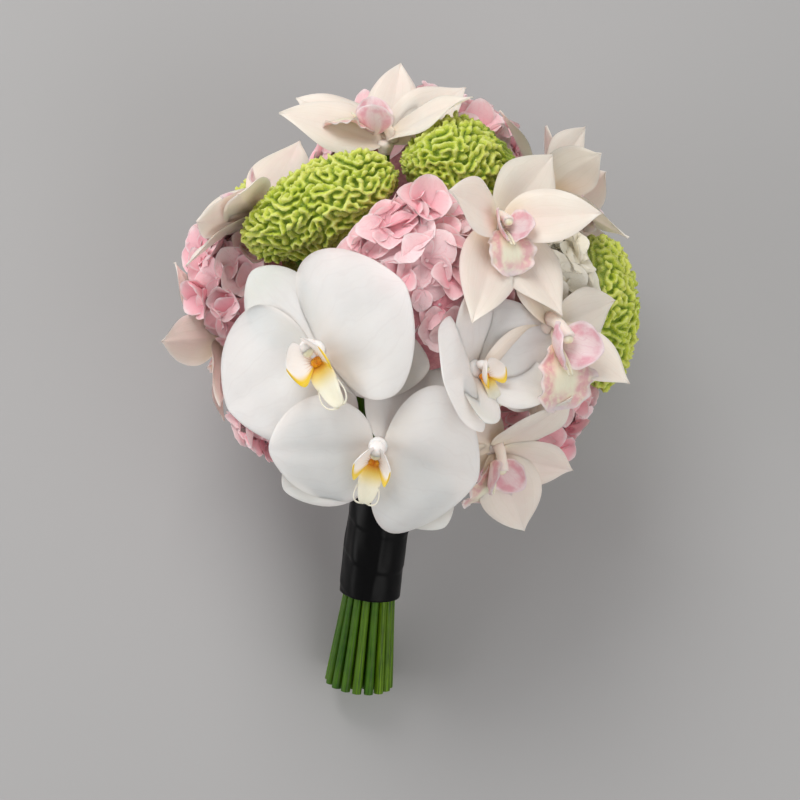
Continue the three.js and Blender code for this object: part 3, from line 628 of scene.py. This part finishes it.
def crestMaterial():
    # cockscomb: pale yellow-green on the folds and dark green between them, with a velvet nap. The dark
    # grooves are partly the crest's own green and partly painted shade, the palest fold tops are partly
    # painted highlight, and the duller green where the skin turns away from the head's front is painted shade
    w = Finish("cockscombCrest")
    w.readMap()
    ridge, facing = w.along, w.across
    place = w.place()
    nap = w.noise(place, 1500.0, 2.0)
    folds = w.mix(w.spread(w.noise(place, 45.0, 3.0), 0.35, 0.65), "#bccb32", "#d2d85a")
    # dark green in the grooves: the crest's own green and painted shade
    colour = w.mix(w.spread(ridge, 0.1, 0.75), "#7d9a10", folds)
    # palest on the fold tops: their own colour and painted highlight
    colour = w.mix(w.spread(ridge, 0.75, 1.0, 0.0, 0.45), colour, "#dde49a")
    # duller where the skin turns away from the head's front: painted shade
    colour = w.mix(w.spread(facing, 0.0, 1.0, 0.5, 0.0), colour, "#8a9c40")
    colour = w.mix(w.spread(nap, 0.45, 0.75, 0.0, 0.3), colour, "#e6eab8")
    return w.finished(
        colour, (nap, 0.35, 0.0008), Roughness=0.7, Sheen_Weight=0.15, Sheen_Roughness=0.4,
        Subsurface_Weight=0.2, Subsurface_Radius=(0.8, 1.0, 0.3), Subsurface_Scale=0.002,
    )


def stemMaterial():
    # green skin with long dark fibres, lighter on some stems than on others. The dark colour lies in the low
    # parts of the fibre relief: partly the fibres' own colour and partly painted shade in their grooves
    w = Finish("cutStem")
    w.readMap()
    stretch = w.node("CombineXYZ")
    w.feed(stretch, X=w.times(w.across, 12.0), Y=w.times(w.along, 5.0), Z=w.times(w.tint, 40.0))
    fibreAndShade = w.noise(stretch.outputs[0], 2.0, 4.0)
    clouds, grain = w.mottle(90.0)
    colour = w.mix(w.tint, "#2f6203", "#6f960c")
    # dark where the relief is low: fibre colour and painted shade in the grooves
    colour = w.mix(w.spread(fibreAndShade, 0.4, 0.62, 0.85, 0.0), colour, "#183803")
    colour = w.mix(w.times(clouds, 0.1), colour, "#8fb326")
    height = w.math("ADD", w.times(fibreAndShade, 0.7), w.times(grain, 0.2))
    return w.finished(
        colour, (height, 0.3, 0.0008), Roughness=w.spread(fibreAndShade, 0.3, 0.7, 0.34, 0.5),
        Specular_IOR_Level=0.25, Subsurface_Weight=0.1, Subsurface_Scale=0.002,
    )


def cutMaterial():
    # the fresh cut: pale wet fibres in a green rind
    w = Finish("stemCut")
    w.readMap()
    pores = w.cells(w.place(), 1900.0)
    colour = w.mix(w.spread(w.along, 0.55, 0.95), "#e6ecc2", "#7fae3c")
    colour = w.mix(w.spread(pores, 0.15, 0.4, 0.5, 0.0), colour, "#a9bd6f")
    return w.finished(colour, (pores, 0.4, 0.0004), Roughness=0.35)


def satinMaterial():
    # black satin: a fine weave with long floats round the wrap, and a soft broad sheen
    w = Finish("blackSatin")
    w.readMap()
    stretch = w.node("VectorMath", operation="MULTIPLY")
    w.plug(w.map, stretch.inputs[0])
    w.plug((420.0, 60.0, 1.0), stretch.inputs[1])
    weave = w.noise(stretch.outputs[0], 1.0, 2.0)
    colour = w.mix(w.spread(weave, 0.35, 0.7), "#020203", "#060608")
    gloss = w.spread(w.mottle(40.0)["Mask"], 0.0, 1.0, 0.28, 0.4)
    return w.finished(colour, (weave, 0.12, 0.0003), Roughness=gloss, Specular_IOR_Level=0.12)


def tapeMaterial():
    # crinkled green florist's tape
    w = Finish("floristTape")
    crinkle = w.noise(w.place(), 700.0, 3.0)
    return w.finished(w.mix(crinkle, "#34502a", "#587845"), (crinkle, 0.5, 0.0005), Roughness=0.8)


petalLooks = {name: petalMaterial(name, **values) for name, values in petalFinishes.items()}
petalLooks["mothCallus"] = callusMaterial()
coreLooks = {
    "pink": coreMaterial("pinkHeart", "#f5b4be", "#e095a2"),
    "white": coreMaterial("whiteHeart", "#e4e0be", "#bcb88a"),
}
crestLook = crestMaterial()
stemLook = stemMaterial()
cutLook = cutMaterial()
satinLook = satinMaterial()
tapeLook = tapeMaterial()
print("materials made")

# Orchids

mothOrchid = {
    "sepal": dict(length=56, width=42, outline="oval", cup=0.08, thick=0.7, swell=0.8, crease=0.5),
    "petal": dict(length=54, width=76, outline="round", cup=-0.08, sweep=0.16, thick=0.7, swell=2.6,
                  crease=1.0, claw=2.5, frill=0.6, frills=4),
    "tongue": dict(length=20, width=12.5, outline="strap", lift=30, curl=-46, cup=0.2, root=1, thick=0.8,
                   wave=0.5, swell=0.4),
    "ear": dict(length=14, width=18, outline="ear", lift=44, curl=30, cup=0.25, root=1.2, thick=0.7),
    "wings": (178, 2), "sides": (222, 318), "ears": (164, 16),  # degrees round the bloom, anticlockwise
    "grids": {"sepal": (24, 14), "petal": (34, 30), "tongue": (20, 12), "ear": (16, 16)},
    "column": (3.3, 2.9, 4.6), "columnAt": (0, 1.2, 6.2), "columnTilt": 18,
    "cap": (2.3, 1.9, 1.7), "capAt": (0, -1.5, 2.9),
    "callus": (2.7, 2.5, 2.9),
    "throat": (0, -5.4, 4.6),  # where the lip joins, from the middle of the bloom
    "foot": -6,  # where the heart ends behind the bloom
}

cymbidiumOrchid = {
    "tepal": dict(outline="pointed", cup=0.22, wave=1, thick=0.8, swell=0.7, crease=0.9, roll=0.16),
    "tongue": dict(length=32, width=31, outline="tongue", lift=52, curl=-96, cup=0.14, wave=1.5, waves=5,
                   root=1, thick=0.8, frill=1.3, frills=9, swell=0.6),
    "lobe": dict(length=21, width=21, outline="oval", lift=54, curl=12, cup=0.26, root=1.5, thick=0.7,
                 frill=0.7, frills=6, swell=0.4),
    "inner": dict(length=50, width=26, slope=31), "outer": dict(length=54, width=29, slope=22),
    "innerAt": 1, "outerAt": -0.8,  # how far forward the two inner and the three outer tepals grow
    "angles": (90, 148, 32, 218, 322), "lobes": (192, 348),
    "grids": {"tepal": (30, 18), "tongue": (60, 26), "lobe": (32, 18)},
    "column": 3.3,
    "cap": (2.7, 2.3, 2.1), "capAt": (0, -4.0, 12.8), "capTilt": 40,
    "throat": (0, -5.6, 4.8),
    "foot": -5.8,
}


def grown(spec, size, **more):
    return {**spec, "length": spec["length"] * size, "width": spec["width"] * size, **more}


def tilted(place, degrees):
    return Matrix.Translation(place) @ Matrix.Rotation(math.radians(degrees), 4, "X")


def addHeart(pile, foot):
    # the short neck behind the tepals, which the stem enters
    path = [(0, 0, foot + k * 1.5) for k in range(6)]
    addTube(pile, path, [3.2, 3.6, 4.2, 4.8, 5.0, 3.5], slot=1, around=16, capped=True)


def mothTepals(flower, pile):
    o, seed = mothOrchid, flower["seed"]
    size, opened = flower.get("size", 1), flower.get("open", 0)
    lay, broad, sides = flower["lay"], flower["broad"], flower.get("sides", o["sides"])
    turns = ((flower.get("top", 90), lay[0], -10), (sides[0], lay[1], 4), (sides[1], lay[1], 4))
    for k, (angle, lift, curl) in enumerate(turns):
        spec = grown(o["sepal"], size, lift=opened + lift, curl=curl, seed=seed + k, tint=0.9)
        addPetal(pile, angle, -2, spec, grid=o["grids"]["sepal"])
    for k, angle in enumerate(flower.get("wings", o["wings"])):
        curl = -24 - flower.get("droop", 0)
        spec = grown(o["petal"], size, lift=opened + 9, curl=curl, seed=seed + 5 + k, tint=0.2)
        spec["length"] *= broad[k][0]
        spec["width"] *= broad[k][1]
        addPetal(pile, angle, 1.2, spec, grid=o["grids"]["petal"])
    # the hooded column with its cap, and the heart that the stem enters
    grow = Matrix.Scale(flower.get("mouth", 1), 4)
    lean = grow @ tilted(o["columnAt"], o["columnTilt"])
    wide, deep, tall = o["column"]
    hood = lambda turn, polar: 1 + 0.12 * np.cos(turn - math.pi / 2) * np.sin(polar)
    addLump(pile, (wide * size ** 0.5, deep, tall), lean, slot=1, shape=hood)
    addLump(pile, o["cap"], lean @ Matrix.Translation(o["capAt"]), slot=2)
    addHeart(pile, o["foot"])


def mothLip(flower, pile):
    o, seed = mothOrchid, flower["seed"]
    throat, grids = Matrix.Translation(o["throat"]), o["grids"]
    tongue = {**o["tongue"], "seed": seed}
    addPetal(pile, 270, -0.5, tongue, grid=grids["tongue"], lift=throat)
    # the tint tells the ears' lower edges apart
    for k, (angle, tint) in enumerate(zip(o["ears"], (0.9, 0.1)), 1):
        ear = {**o["ear"], "seed": seed + k, "tint": tint}
        addPetal(pile, angle, 0, ear, slot=1, grid=grids["ear"], lift=throat)
    knobs = lambda turn, polar: 1 + 0.16 * np.cos(2 * turn) + 0.06 * np.sin(7 * turn + 5 * polar)
    addLump(pile, o["callus"], throat, slot=2, shape=knobs)
    # two tendrils curl back from the tip of the tongue
    points = bladeGrid(tongue, *grids["tongue"])[0]
    tip = placed(points[-2, points.shape[1] // 2][None], throat @ petalMatrix(270, -0.5))
    t = np.linspace(0, 1, 16)
    for side in (-1, 1):
        outward = side * (1.2 + 4.4 * np.sin(2.3 * t))
        curl = np.stack([outward, 10 * t ** 1.3 - 1.6 * np.sin(3.1 * t), 2.2 * np.sin(2.6 * t)], -1)
        addTube(pile, tip + curl, 0.45 - 0.25 * t, around=6, mapFrom=0.9)


def cymbidiumTepals(flower, pile):
    o, seed, size = cymbidiumOrchid, flower["seed"], flower.get("size", 1)
    lay, lean = flower.get("lay", (0,) * 5), flower.get("lean", (0,) * 5)
    for k, angle in enumerate(flower.get("angles", o["angles"])):
        ring = "inner" if k in (1, 2) else "outer"
        spec = {**o["tepal"], **o[ring], "lean": lean[k], "seed": seed * 7 + k, "tint": flower["blush"]}
        spec["length"] = spec["length"] * size * (0.96 + 0.08 * draw(k, seed))
        spec["width"] = spec["width"] * size * flower.get("broad", 1)
        spec["slope"] += lay[k]
        spec["curl"] = -16 + 12 * (draw(k, seed + 3) - 0.5)
        spec["phase"] = 5 * draw(k, seed + 7)
        addPetal(pile, angle, o[ring + "At"], spec, grid=o["grids"]["tepal"])
    # the arched column, its cream cap and the heart
    t = np.linspace(0, 1, 12)
    arch = np.stack([0 * t, 3.8 - 7.4 * t ** 1.6, 1 + 12.2 * t ** 0.9], -1)
    grow = Matrix.Scale(flower.get("mouth", 1), 4)
    radii = o["column"] - 0.6 * np.sin(math.pi * t) ** 1.2
    addTube(pile, arch, radii, slot=1, around=16, capped=True, matrix=grow)
    cap = grow @ tilted(o["capAt"], o["capTilt"])
    addLump(pile, o["cap"], cap, slot=2, shape=lambda turn, polar: 1 + 0.07 * np.cos(2 * turn))
    addHeart(pile, o["foot"])


def cymbidiumLip(flower, pile):
    o, seed = cymbidiumOrchid, flower["seed"] * 3
    throat = Matrix.Translation(o["throat"])
    addPetal(pile, 270, 0, {**o["tongue"], "seed": seed}, grid=o["grids"]["tongue"], lift=throat)
    for k, angle in enumerate(o["lobes"], 1):
        lobe = {**o["lobe"], "seed": seed + k}
        addPetal(pile, angle, 0.2, lobe, slot=1, grid=o["grids"]["lobe"], lift=throat)
    # twin yellow keels run down the throat
    t = np.linspace(0, 1, 12)
    for side in (-1, 1):
        keel = np.stack([side * (1.4 - 0.5 * t), -1 - 12.5 * t, 1.2 + 12.2 * t - 2.2 * t ** 2], -1)
        addTube(pile, keel, 0.9 * np.sin(math.pi * (0.08 + 0.86 * t)) ** 0.5, slot=2, around=8, matrix=throat)


orchidKinds = {
    "moth": {
        "bloom": (mothTepals, ["mothPetal", "mothColumn", "antherCap"], "white_petal"),
        "lip": (mothLip, ["mothTongue", "mothEar", "mothCallus"], "yellow_lip"),
    },
    "cymbidium": {
        "bloom": (cymbidiumTepals, ["cymbidiumPetal", "cymbidiumColumn", "antherCap"], "cream_petal"),
        "lip": (cymbidiumLip, ["cymbidiumLip", "cymbidiumEar", "antherCap"], "pink_lip"),
    },
}

pieces = []


def makeOrchid(flower):
    mouth = Matrix.Scale(flower.get("mouth", 1), 4)
    for part, suffix, grow in (("bloom", "", Matrix()), ("lip", "_lip", mouth)):
        build, names, slot = orchidKinds[flower["kind"]][part]
        pile = Pile()
        build(flower, pile)
        node = flower["name"] + suffix
        looks = [petalLooks[name] for name in names]
        pieces.append(makePiece(node + "_bloom", pile, looks, node, flower["frame"] @ grow))


for flower in flowers:
    if flower["kind"] in orchidKinds:
        makeOrchid(flower)
print("orchids made")

# Stems

stemBundle = {
    "cutEnd": -231, "ribbonFoot": -174, "ribbonTop": -88,  # heights below the middle of the head, in mm
    "slim": 4.6, "thick": 6.4, "outerRing": 13.0, "innerRing": 6.8,  # widths of stems, radii of the rings
    "flare": 1.36,  # how much the rings widen from the ribbon to the cut ends
    "twist": 10,  # degrees that the bundle turns on its way down
    "sides": 16,
    "foot": 1.24,  # how much thicker a stem is at its cut end
    "dish": 0.35,  # depth of the cut face
    "seats": {"moth": 4.4, "cymbidium": 4.2},  # how far behind a bloom's middle its stem ends
    "headSeat": 11,  # and how far in front of the back of a hydrangea or a cockscomb
}


def slotPoint(ring, index, height):
    s = stemBundle
    inner = ring == "inner"
    radius = (s["innerRing"] if index < 6 else 0) if inner else s["outerRing"]
    angle = 60 * index - 150 if inner else 22.5 * index - 168.75
    below = min(max((s["ribbonFoot"] - height) / (s["ribbonFoot"] - s["cutEnd"]), 0), 1)
    share = (s["ribbonTop"] - height) / (s["ribbonTop"] - s["cutEnd"])
    radius *= 1 + (s["flare"] - 1) * below
    turned = math.radians(angle + s["twist"] * share)
    return np.array((radius * math.sin(turned), -radius * math.cos(turned), height))


def stemPath(flower):
    s = stemBundle
    cut, foot, top = (slotPoint(*flower["stem"], s[key]) for key in ("cutEnd", "ribbonFoot", "ribbonTop"))
    seat = s["seats"][flower["kind"]] if flower["kind"] in s["seats"] else flower["half"][2] - s["headSeat"]
    head = np.array(flower["frame"] @ Vector((0, 0, -seat)))
    span = np.linalg.norm(head - top)
    leaving = np.array((1.5 * top[0], 1.5 * top[1], top[2] + 0.4 * span))
    arriving = head - np.array(flower["facing"]) * 0.36 * span
    t = np.linspace(0, 1, 15)[1:, None]
    bend = (1 - t) ** 3 * top + 3 * (1 - t) ** 2 * t * leaving
    bend = bend + 3 * (1 - t) * t ** 2 * arriving + t ** 3 * head
    low = cut + (foot - cut) * np.linspace(0, 1, 8)[:, None]
    middle = foot + (top - foot) * np.linspace(0, 1, 6)[1:, None]
    return np.concatenate([low, middle, bend])


def makeStem(flower, index):
    path = stemPath(flower)
    radius = (stemBundle["thick"] if flower["stem"][0] == "inner" else stemBundle["slim"]) / 2
    t = np.linspace(0, 1, len(path))
    radii = radius * (0.955 + 0.03 * np.sin(9 * t + 6 * draw(index, 1)) + 0.015 * np.sin(31 * t))
    radii[:8] *= np.linspace(stemBundle["foot"], 1, 8)
    ribs = 3 + index % 3
    squash = lambda turn: 1 + 0.035 * np.cos(ribs * turn + index) - 0.02 * np.cos(2 * turn)
    pile = Pile()
    rings = addTube(pile, path, radii, tint=draw(index, 5), around=stemBundle["sides"], squash=squash)
    # the cut face, a little dished
    centre, rim = path[0], rings[0]
    inward = (path[1] - path[0]) / np.linalg.norm(path[1] - path[0])
    shares = np.array([0.02, 0.35, 0.7, 0.93, 1.0])
    dished = inward * stemBundle["dish"]
    disc = np.array([centre + (rim - centre) * share + dished * (1 - share ** 2) for share in shares])
    maps = mapGrid(shares[:, None], np.zeros((1, len(rim))), 0)
    pile.add(disc, maps, gridFaces(len(shares), len(rim), closed=True), 1)
    node = "stem_" + flower["name"]
    pieces.append(makePiece(node + "_skin", pile, [stemLook, cutLook], node))


for index, flower in enumerate(flowers):
    makeStem(flower, index)
print("stems made")

# Ribbon and tape

ribbonWrap = {
    "turns": 4, "lap": 0.4, "thick": 0.9,  # wraps of satin, the step from one to the next, the cloth
    "slant": 6.0,  # mm that a wrap's edge climbs round the bundle
    "pulls": 24, "creases": 0.75,  # soft pulls in the cloth, and their depth
    "tape": 1.4, "clear": 0.1,  # the tape with its gaps, and the room between it and the lining
    "around": 156, "rows": 104,
}


def makeRibbon():
    r, s = ribbonWrap, stemBundle
    inside = s["outerRing"] + s["slim"] / 2 + r["tape"]
    turn = np.linspace(0, 2 * math.pi, r["around"], endpoint=False)[None, :]
    height = np.linspace(s["ribbonFoot"], s["ribbonTop"], r["rows"])[:, None]
    tall = s["ribbonTop"] - s["ribbonFoot"]
    place = (height - s["ribbonFoot"] + r["slant"] * np.sin(turn + 0.8)) / (tall / r["turns"])
    within = place - np.floor(place)
    radius = inside + r["thick"] + r["lap"] * (1 - within) * np.clip(within / 0.1, 0, 1)
    creases = np.zeros_like(radius)
    for k in range(r["pulls"]):
        lean = 0.35 * (draw(k, 3) - 0.5)
        centre = 2 * math.pi * draw(k, 1)
        wide = 0.1 + 0.22 * draw(k, 2)
        away = (turn - centre - lean * (height + 126) / 20 + math.pi) % (2 * math.pi) - math.pi
        reach = np.exp(-((height + 95 + 62 * draw(k, 4)) / (14 + 18 * draw(k, 5))) ** 2)
        creases += (0.5 + 0.5 * draw(k, 6)) * np.exp(-(away / wide) ** 2) * reach * (1 if k % 3 else -1)
    ripple = 0.12 * np.sin(7 * turn + 0.11 * height) * np.sin(0.21 * height + 2 * np.sin(turn))
    radius = radius + r["creases"] * creases + ripple
    radius = np.minimum(np.maximum(radius, inside + 0.35), inside + r["thick"] + r["lap"] + 0.7)
    outside, lining = (np.stack([wide * np.sin(turn), -wide * np.cos(turn), height + 0 * turn], -1)
                       for wide in (radius, np.full_like(radius, inside + r["clear"])))
    points = np.concatenate([lining[:1], outside, lining[-1:]])
    maps = mapGrid((height - s["ribbonFoot"]) / tall, turn / math.pi - 1, within)
    outerMaps = np.concatenate([maps[:1], maps, maps[-1:]])
    pile = Pile()
    pile.add(points, outerMaps, gridFaces(len(points), r["around"], closed=True, flip=True))
    pile.add(lining, maps, gridFaces(len(lining), r["around"], closed=True))
    makePiece("satinRibbon", pile, [satinLook], "ribbon")


makeRibbon()
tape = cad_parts["tie"]
tape.data.materials.clear()
tape.data.materials.append(tapeLook)
print("ribbon made")

# Cockscombs

cockscombCrest = {
    "voxel": 0.00085,  # metres between the points of the crest's skin
    "smoothing": 60,  # blur steps that take the loaded model's flat faces away
    "foldWidth": (6, 34),  # blur steps of the narrow and the wide pass that set how far apart the folds stand
    "passes": 9, "sharp": 1.6,  # times that the labyrinth is sharpened, and how hard
    "level": 0.55,  # share of a fold's height that lies below the head's own skin
    "lumps": 0.0006,  # metres that the whole head rises and falls
    "height": 0.0042,  # metres from the floor of a groove to the top of a fold
    "beads": 0.0007,  # metres that small beads stand out on the folds
}


def neighbours(mesh):
    # for each vertex, its linked vertices in a table of fixed width, filled up with itself
    count = len(mesh.vertices)
    edges = np.empty(len(mesh.edges) * 2, int)
    mesh.edges.foreach_get("vertices", edges)
    edges = edges.reshape(-1, 2)
    both = np.concatenate([edges, edges[:, ::-1]])
    both = both[np.argsort(both[:, 0], kind="stable")]
    first = np.searchsorted(both[:, 0], np.arange(count))
    rank = np.arange(len(both)) - first[both[:, 0]]
    width = min(int(rank.max()) + 1, 8)
    table = np.repeat(np.arange(count)[:, None], width, 1)
    keep = rank < width
    table[both[keep, 0], rank[keep]] = both[keep, 1]
    return table


def blurred(values, table, times):
    for _ in range(times):
        values = 0.5 * values + 0.5 * values[table].mean(1)
    return values


def fanned(ridge, points, flower):
    # at its right end a crest opens into a smooth fan with fine furrows that run outward
    local = placed(points, (toRow @ flower["frame"]).inverted())
    start, soft = flower["fan"]
    share = np.clip((local[:, 0] - start) / soft, 0, 1)
    turn = np.arctan2(local[:, 1] + 0.4 * local[:, 2], local[:, 0] - start + 12)
    # low values in the furrows also darken them in the crest's colour, as painted shade
    furrows = 0.26 + 0.13 * np.sin(46 * turn + 3 * np.sin(5 * turn))
    return ridge * (1 - share) + furrows * share


def crestSkin(flower):
    # the head's own form from the loaded model, in small even faces, with a table of each vertex's neighbours
    piece = bpy.data.objects.new(flower["name"] + "_crest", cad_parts[flower["name"]].data.copy())
    bpy.context.collection.objects.link(piece)
    remesh = piece.modifiers.new("skin", "REMESH")
    remesh.mode = "VOXEL"
    remesh.voxel_size = flower.get("voxel", cockscombCrest["voxel"])
    skin = bpy.data.meshes.new_from_object(piece.evaluated_get(bpy.context.evaluated_depsgraph_get()))
    piece.modifiers.clear()
    piece.data = skin
    return piece, skin, neighbours(skin)


def readVectors(rows, name):
    values = np.empty(len(rows) * 3)
    rows.foreach_get(name, values)
    return values.reshape(-1, 3)


def labyrinth(chance, table):
    # folds that grow out of chance by sharpening the difference of two blurs: 0 in a groove, 1 on a fold
    c = cockscombCrest
    values = chance.standard_normal(len(table))
    for _ in range(c["passes"]):
        near = blurred(values, table, c["foldWidth"][0])
        far = blurred(near, table, c["foldWidth"][1])
        values = np.tanh(c["sharp"] * (near - far) / (np.std(near - far) + 1e-6))
    ridge = blurred(values, table, 3) * 0.5 + 0.5
    return 1 - (1 - ridge) ** 1.2


def makeCrest(flower):
    c = cockscombCrest
    piece, skin, table = crestSkin(flower)
    points = blurred(readVectors(skin.vertices, "co"), table, c["smoothing"])
    skin.vertices.foreach_set("co", points.ravel())
    skin.update()
    normals = readVectors(skin.vertex_normals, "vector")
    chance = np.random.default_rng(flower["seed"])
    ridge = labyrinth(chance, table)
    if "fan" in flower:
        ridge = fanned(ridge, points, flower)
    lumps = blurred(chance.standard_normal(len(points)), table, 60)
    lumps = lumps / (np.abs(lumps).max() + 1e-9)
    beads = blurred(chance.standard_normal(len(points)), table, 4)
    beads = np.clip(beads / (2.0 * beads.std()), -1, 1)
    # how far the skin faces the head's front; where it faces away the crest's colour gets painted shade
    outer = np.clip(normals @ np.array(layDown.to_3x3() @ flower["facing"]) + 0.45, 0, 1)
    rise = (ridge - c["level"]) * c["height"] * (0.4 + 0.6 * outer)
    rise = rise + c["lumps"] * lumps + c["beads"] * beads * ridge
    points = points + normals * rise[:, None]
    points[:, 2] = np.maximum(points[:, 2], bunchPose["tableClearance"])
    skin.vertices.foreach_set("co", points.ravel())
    # the map carries the folds, which set painted shade in the grooves and painted highlight on the tops, and
    # the facing, which sets painted shade on the sides turned away
    markMap(skin, np.stack([ridge, outer, lumps], -1))
    skin.polygons.foreach_set("use_smooth", np.ones(len(skin.polygons), bool))
    skin.materials.clear()
    skin.materials.append(crestLook)
    skin.update()
    pieces.append(enter(piece, flower["name"]))


for flower in flowers:
    if flower["kind"] == "cockscomb":
        makeCrest(flower)
        print(flower["name"], len(pieces[-1].data.polygons), "faces")
print("cockscombs made")

# Hydrangeas

hydrangeaHead = {
    "radius": 16.2,  # mm from the middle of a floret to the tip of a sepal
    "sepal": dict(outline="sepal", root=0.5, thick=0.35, crease=0.35, swell=0.7, frill=0.5, frills=5),
    "grid": (8, 6),
    "sunk": 5.0,  # mm by which the florets differ in depth
    "core": 0.8,  # the core's share of the head's half-sizes
    "closing": 44,  # degrees that the sepals of a closed floret stand up
    "nodding": 0.75,  # how far florets lean away from the head's normal
    "spread": 1.25,  # florets reach this share of the half height down from a head's top
    "tries": 5,  # a floret that meets another piece moves inward and gets smaller, and is left out in the end
    "inward": 3.5, "smaller": 0.07,
}


def addFloret(pile, place, facing, size, seed, shade):
    def fromMiddle(purpose):
        return draw(seed, purpose) - 0.5

    h = hydrangeaHead
    closed = draw(seed, 1) ** 1.5
    matrix = frameAt(Vector(place), facing, 360 * draw(seed, 2))
    for k in range(4):
        long = size * (0.9 + 0.22 * draw(seed, 10 + k))
        spec = {
            **h["sepal"], "length": long, "width": long * (1.02 + 0.2 * draw(seed, 20 + k)),
            "lift": 4 + h["closing"] * closed + 16 * fromMiddle(30 + k),
            "curl": -30 + 40 * draw(seed, 40 + k), "cup": 0.08 + 0.34 * draw(seed, 50 + k),
            "turn": 24 * fromMiddle(60 + k), "seed": seed + k,
            "tint": min(max(shade + 0.35 * fromMiddle(70 + k), 0), 1),
        }
        points, maps = bladeGrid(spec, *h["grid"])
        turn = petalMatrix(90 * k + 12 * fromMiddle(80 + k), 0.5 * (k % 2))
        addSheet(pile, points, maps, spec["thick"], 0, matrix @ turn)
    eye = matrix @ Matrix.Translation((0, 0, 0.9))
    addLump(pile, (1.1, 1.1, 1.1), eye, tint=0.95, around=8, rings=6)


def makeHydrangea(flower, obstacles):
    h = hydrangeaHead
    half = np.array(flower["half"], float)
    count, seed = flower["florets"], flower["seed"] * 1000
    golden = math.pi * (3 - math.sqrt(5))
    pile = Pile()
    addLump(pile, tuple(half * h["core"]), Matrix.Identity(4), slot=1, around=32, rings=20)
    toTable = toRow @ flower["frame"]
    for i in range(count):
        up = 1 - h["spread"] * (i + 0.5) / count
        out = math.sqrt(1 - up * up)
        direction = np.array((out * math.cos(golden * i), out * math.sin(golden * i), up))
        normal = Vector(direction / half).normalized()
        tip = Vector([draw(seed + i, k) - 0.5 for k in (91, 92, 93)]) * h["nodding"]
        facing = (normal + tip).normalized()
        size = h["radius"] * (0.8 + 0.3 * draw(seed + i, 94))
        shade = draw(seed + i, 95)
        sink = 2.5 + h["sunk"] * draw(seed + i, 96)
        for attempt in range(h["tries"]):
            floret = Pile()
            place = direction * (half - sink - h["inward"] * attempt)
            addFloret(floret, place, facing, size * (1 - h["smaller"] * attempt), seed + i, shade)
            points, maps, faces = floret.arrays()
            # every other face is enough to tell whether a floret meets an orchid, a stem or a crest
            own = BVHTree.FromPolygons(placed(points, toTable).tolist(), faces[::2].tolist())
            if not any(own.overlap(tree) for tree in obstacles):
                pile.add(points, maps, faces)
                break
    tone = "white" if "white" in flower else "pink"
    looks = [petalLooks[tone + "Floret"], coreLooks[tone]]
    name, slot = flower["name"], tone + "_floret"
    return makePiece(name + "_florets", pile, looks, name, flower["frame"])


def treeOf(piece):
    mesh = piece.data
    return BVHTree.FromPolygons([v.co for v in mesh.vertices], [list(p.vertices) for p in mesh.polygons])


obstacleTrees = [treeOf(piece) for piece in pieces]
for flower in flowers:
    if flower["kind"] == "hydrangea":
        head = makeHydrangea(flower, obstacleTrees)
        print(flower["name"], len(head.data.polygons), "faces")
print("hydrangeas made")

# Camera, floor and light

studio = {
    "distance": 1.077,  # metres from the middle of the head
    "angle": 23.9,  # degrees that the picture spans
    "above": 12.5,  # degrees that the camera looks down on the standing bunch
    "roll": 7.0,  # degrees that the bunch leans in the picture
    "headAt": (405, 303),  # where the middle of the head shows in the frame
    "frame": 800,
    "floor": ("#a6a6a7", "#acacad"),
    "lights": {  # place and width in metres, power in watts, colour
        "keyLight": ((-0.42, 0.74, 1.25), 0.8, 11, (1.0, 0.98, 0.955)),
        "fillLight": ((0.85, -0.6, 1.0), 1.3, 6.5, (1.0, 0.985, 0.97)),
        "sideLight": ((-1.3, -0.3, 0.6), 1.0, 7, (1.0, 0.99, 0.98)),
    },
    "aim": (0, 0.03, 0.12),  # where the lights point
    "sky": (0.9, 0.885, 0.865, 1), "skyStrength": 0.48,
}


def makeCamera():
    s = studio
    e, r = math.radians(s["above"]), math.radians(s["roll"])
    right, up = Vector((1, 0, 0)), Vector((0, math.sin(e), math.cos(e)))
    back = Vector((0, -math.cos(e), math.sin(e)))
    x = right * math.cos(r) + up * math.sin(r)
    y = up * math.cos(r) - right * math.sin(r)
    x, y, z = (layDown.to_3x3() @ side for side in (x, y, back))
    middle = s["frame"] / 2
    pixel = s["distance"] / (middle / math.tan(math.radians(s["angle"] / 2)))
    px, py = s["headAt"]
    place = headCentre + z * s["distance"] - x * ((px - middle) * pixel) - y * ((middle - py) * pixel)
    camera = bpy.data.objects.new("camera", bpy.data.cameras.new("camera"))
    camera.data.angle = math.radians(s["angle"])
    camera.data.clip_start, camera.data.clip_end = 0.01, 50
    camera.matrix_world = Matrix.Translation(place) @ Matrix((x, y, z)).transposed().to_4x4()
    bpy.context.collection.objects.link(camera)
    bpy.context.scene.camera = camera


def makeFloor():
    bpy.ops.mesh.primitive_plane_add(size=8, location=(0, 0, 0))
    floor = bpy.context.object
    floor.name = "floor"
    w = Finish("paleFloor")
    colour = w.mix(w.noise(w.place(), 3.0, 2.0), *studio["floor"])
    floor.data.materials.append(w.finished(colour, None, Roughness=0.9))


def makeLight(name, place, size, energy, colour):
    lamp = bpy.data.lights.new(name, "AREA")
    lamp.shape, lamp.size, lamp.energy, lamp.color = "DISK", size, energy, colour
    stand = bpy.data.objects.new(name, lamp)
    stand.location = place
    stand.rotation_euler = (Vector(studio["aim"]) - Vector(place)).to_track_quat("-Z", "Y").to_euler()
    bpy.context.collection.objects.link(stand)


makeCamera()
makeFloor()
for name, values in studio["lights"].items():
    makeLight(name, *values)
world = bpy.data.worlds.new("studio")
world.use_nodes = True
world.node_tree.nodes["Background"].inputs["Color"].default_value = studio["sky"]
world.node_tree.nodes["Background"].inputs["Strength"].default_value = studio["skyStrength"]
bpy.context.scene.world = world
bpy.context.scene.view_settings.view_transform = "Standard"
print("studio made")
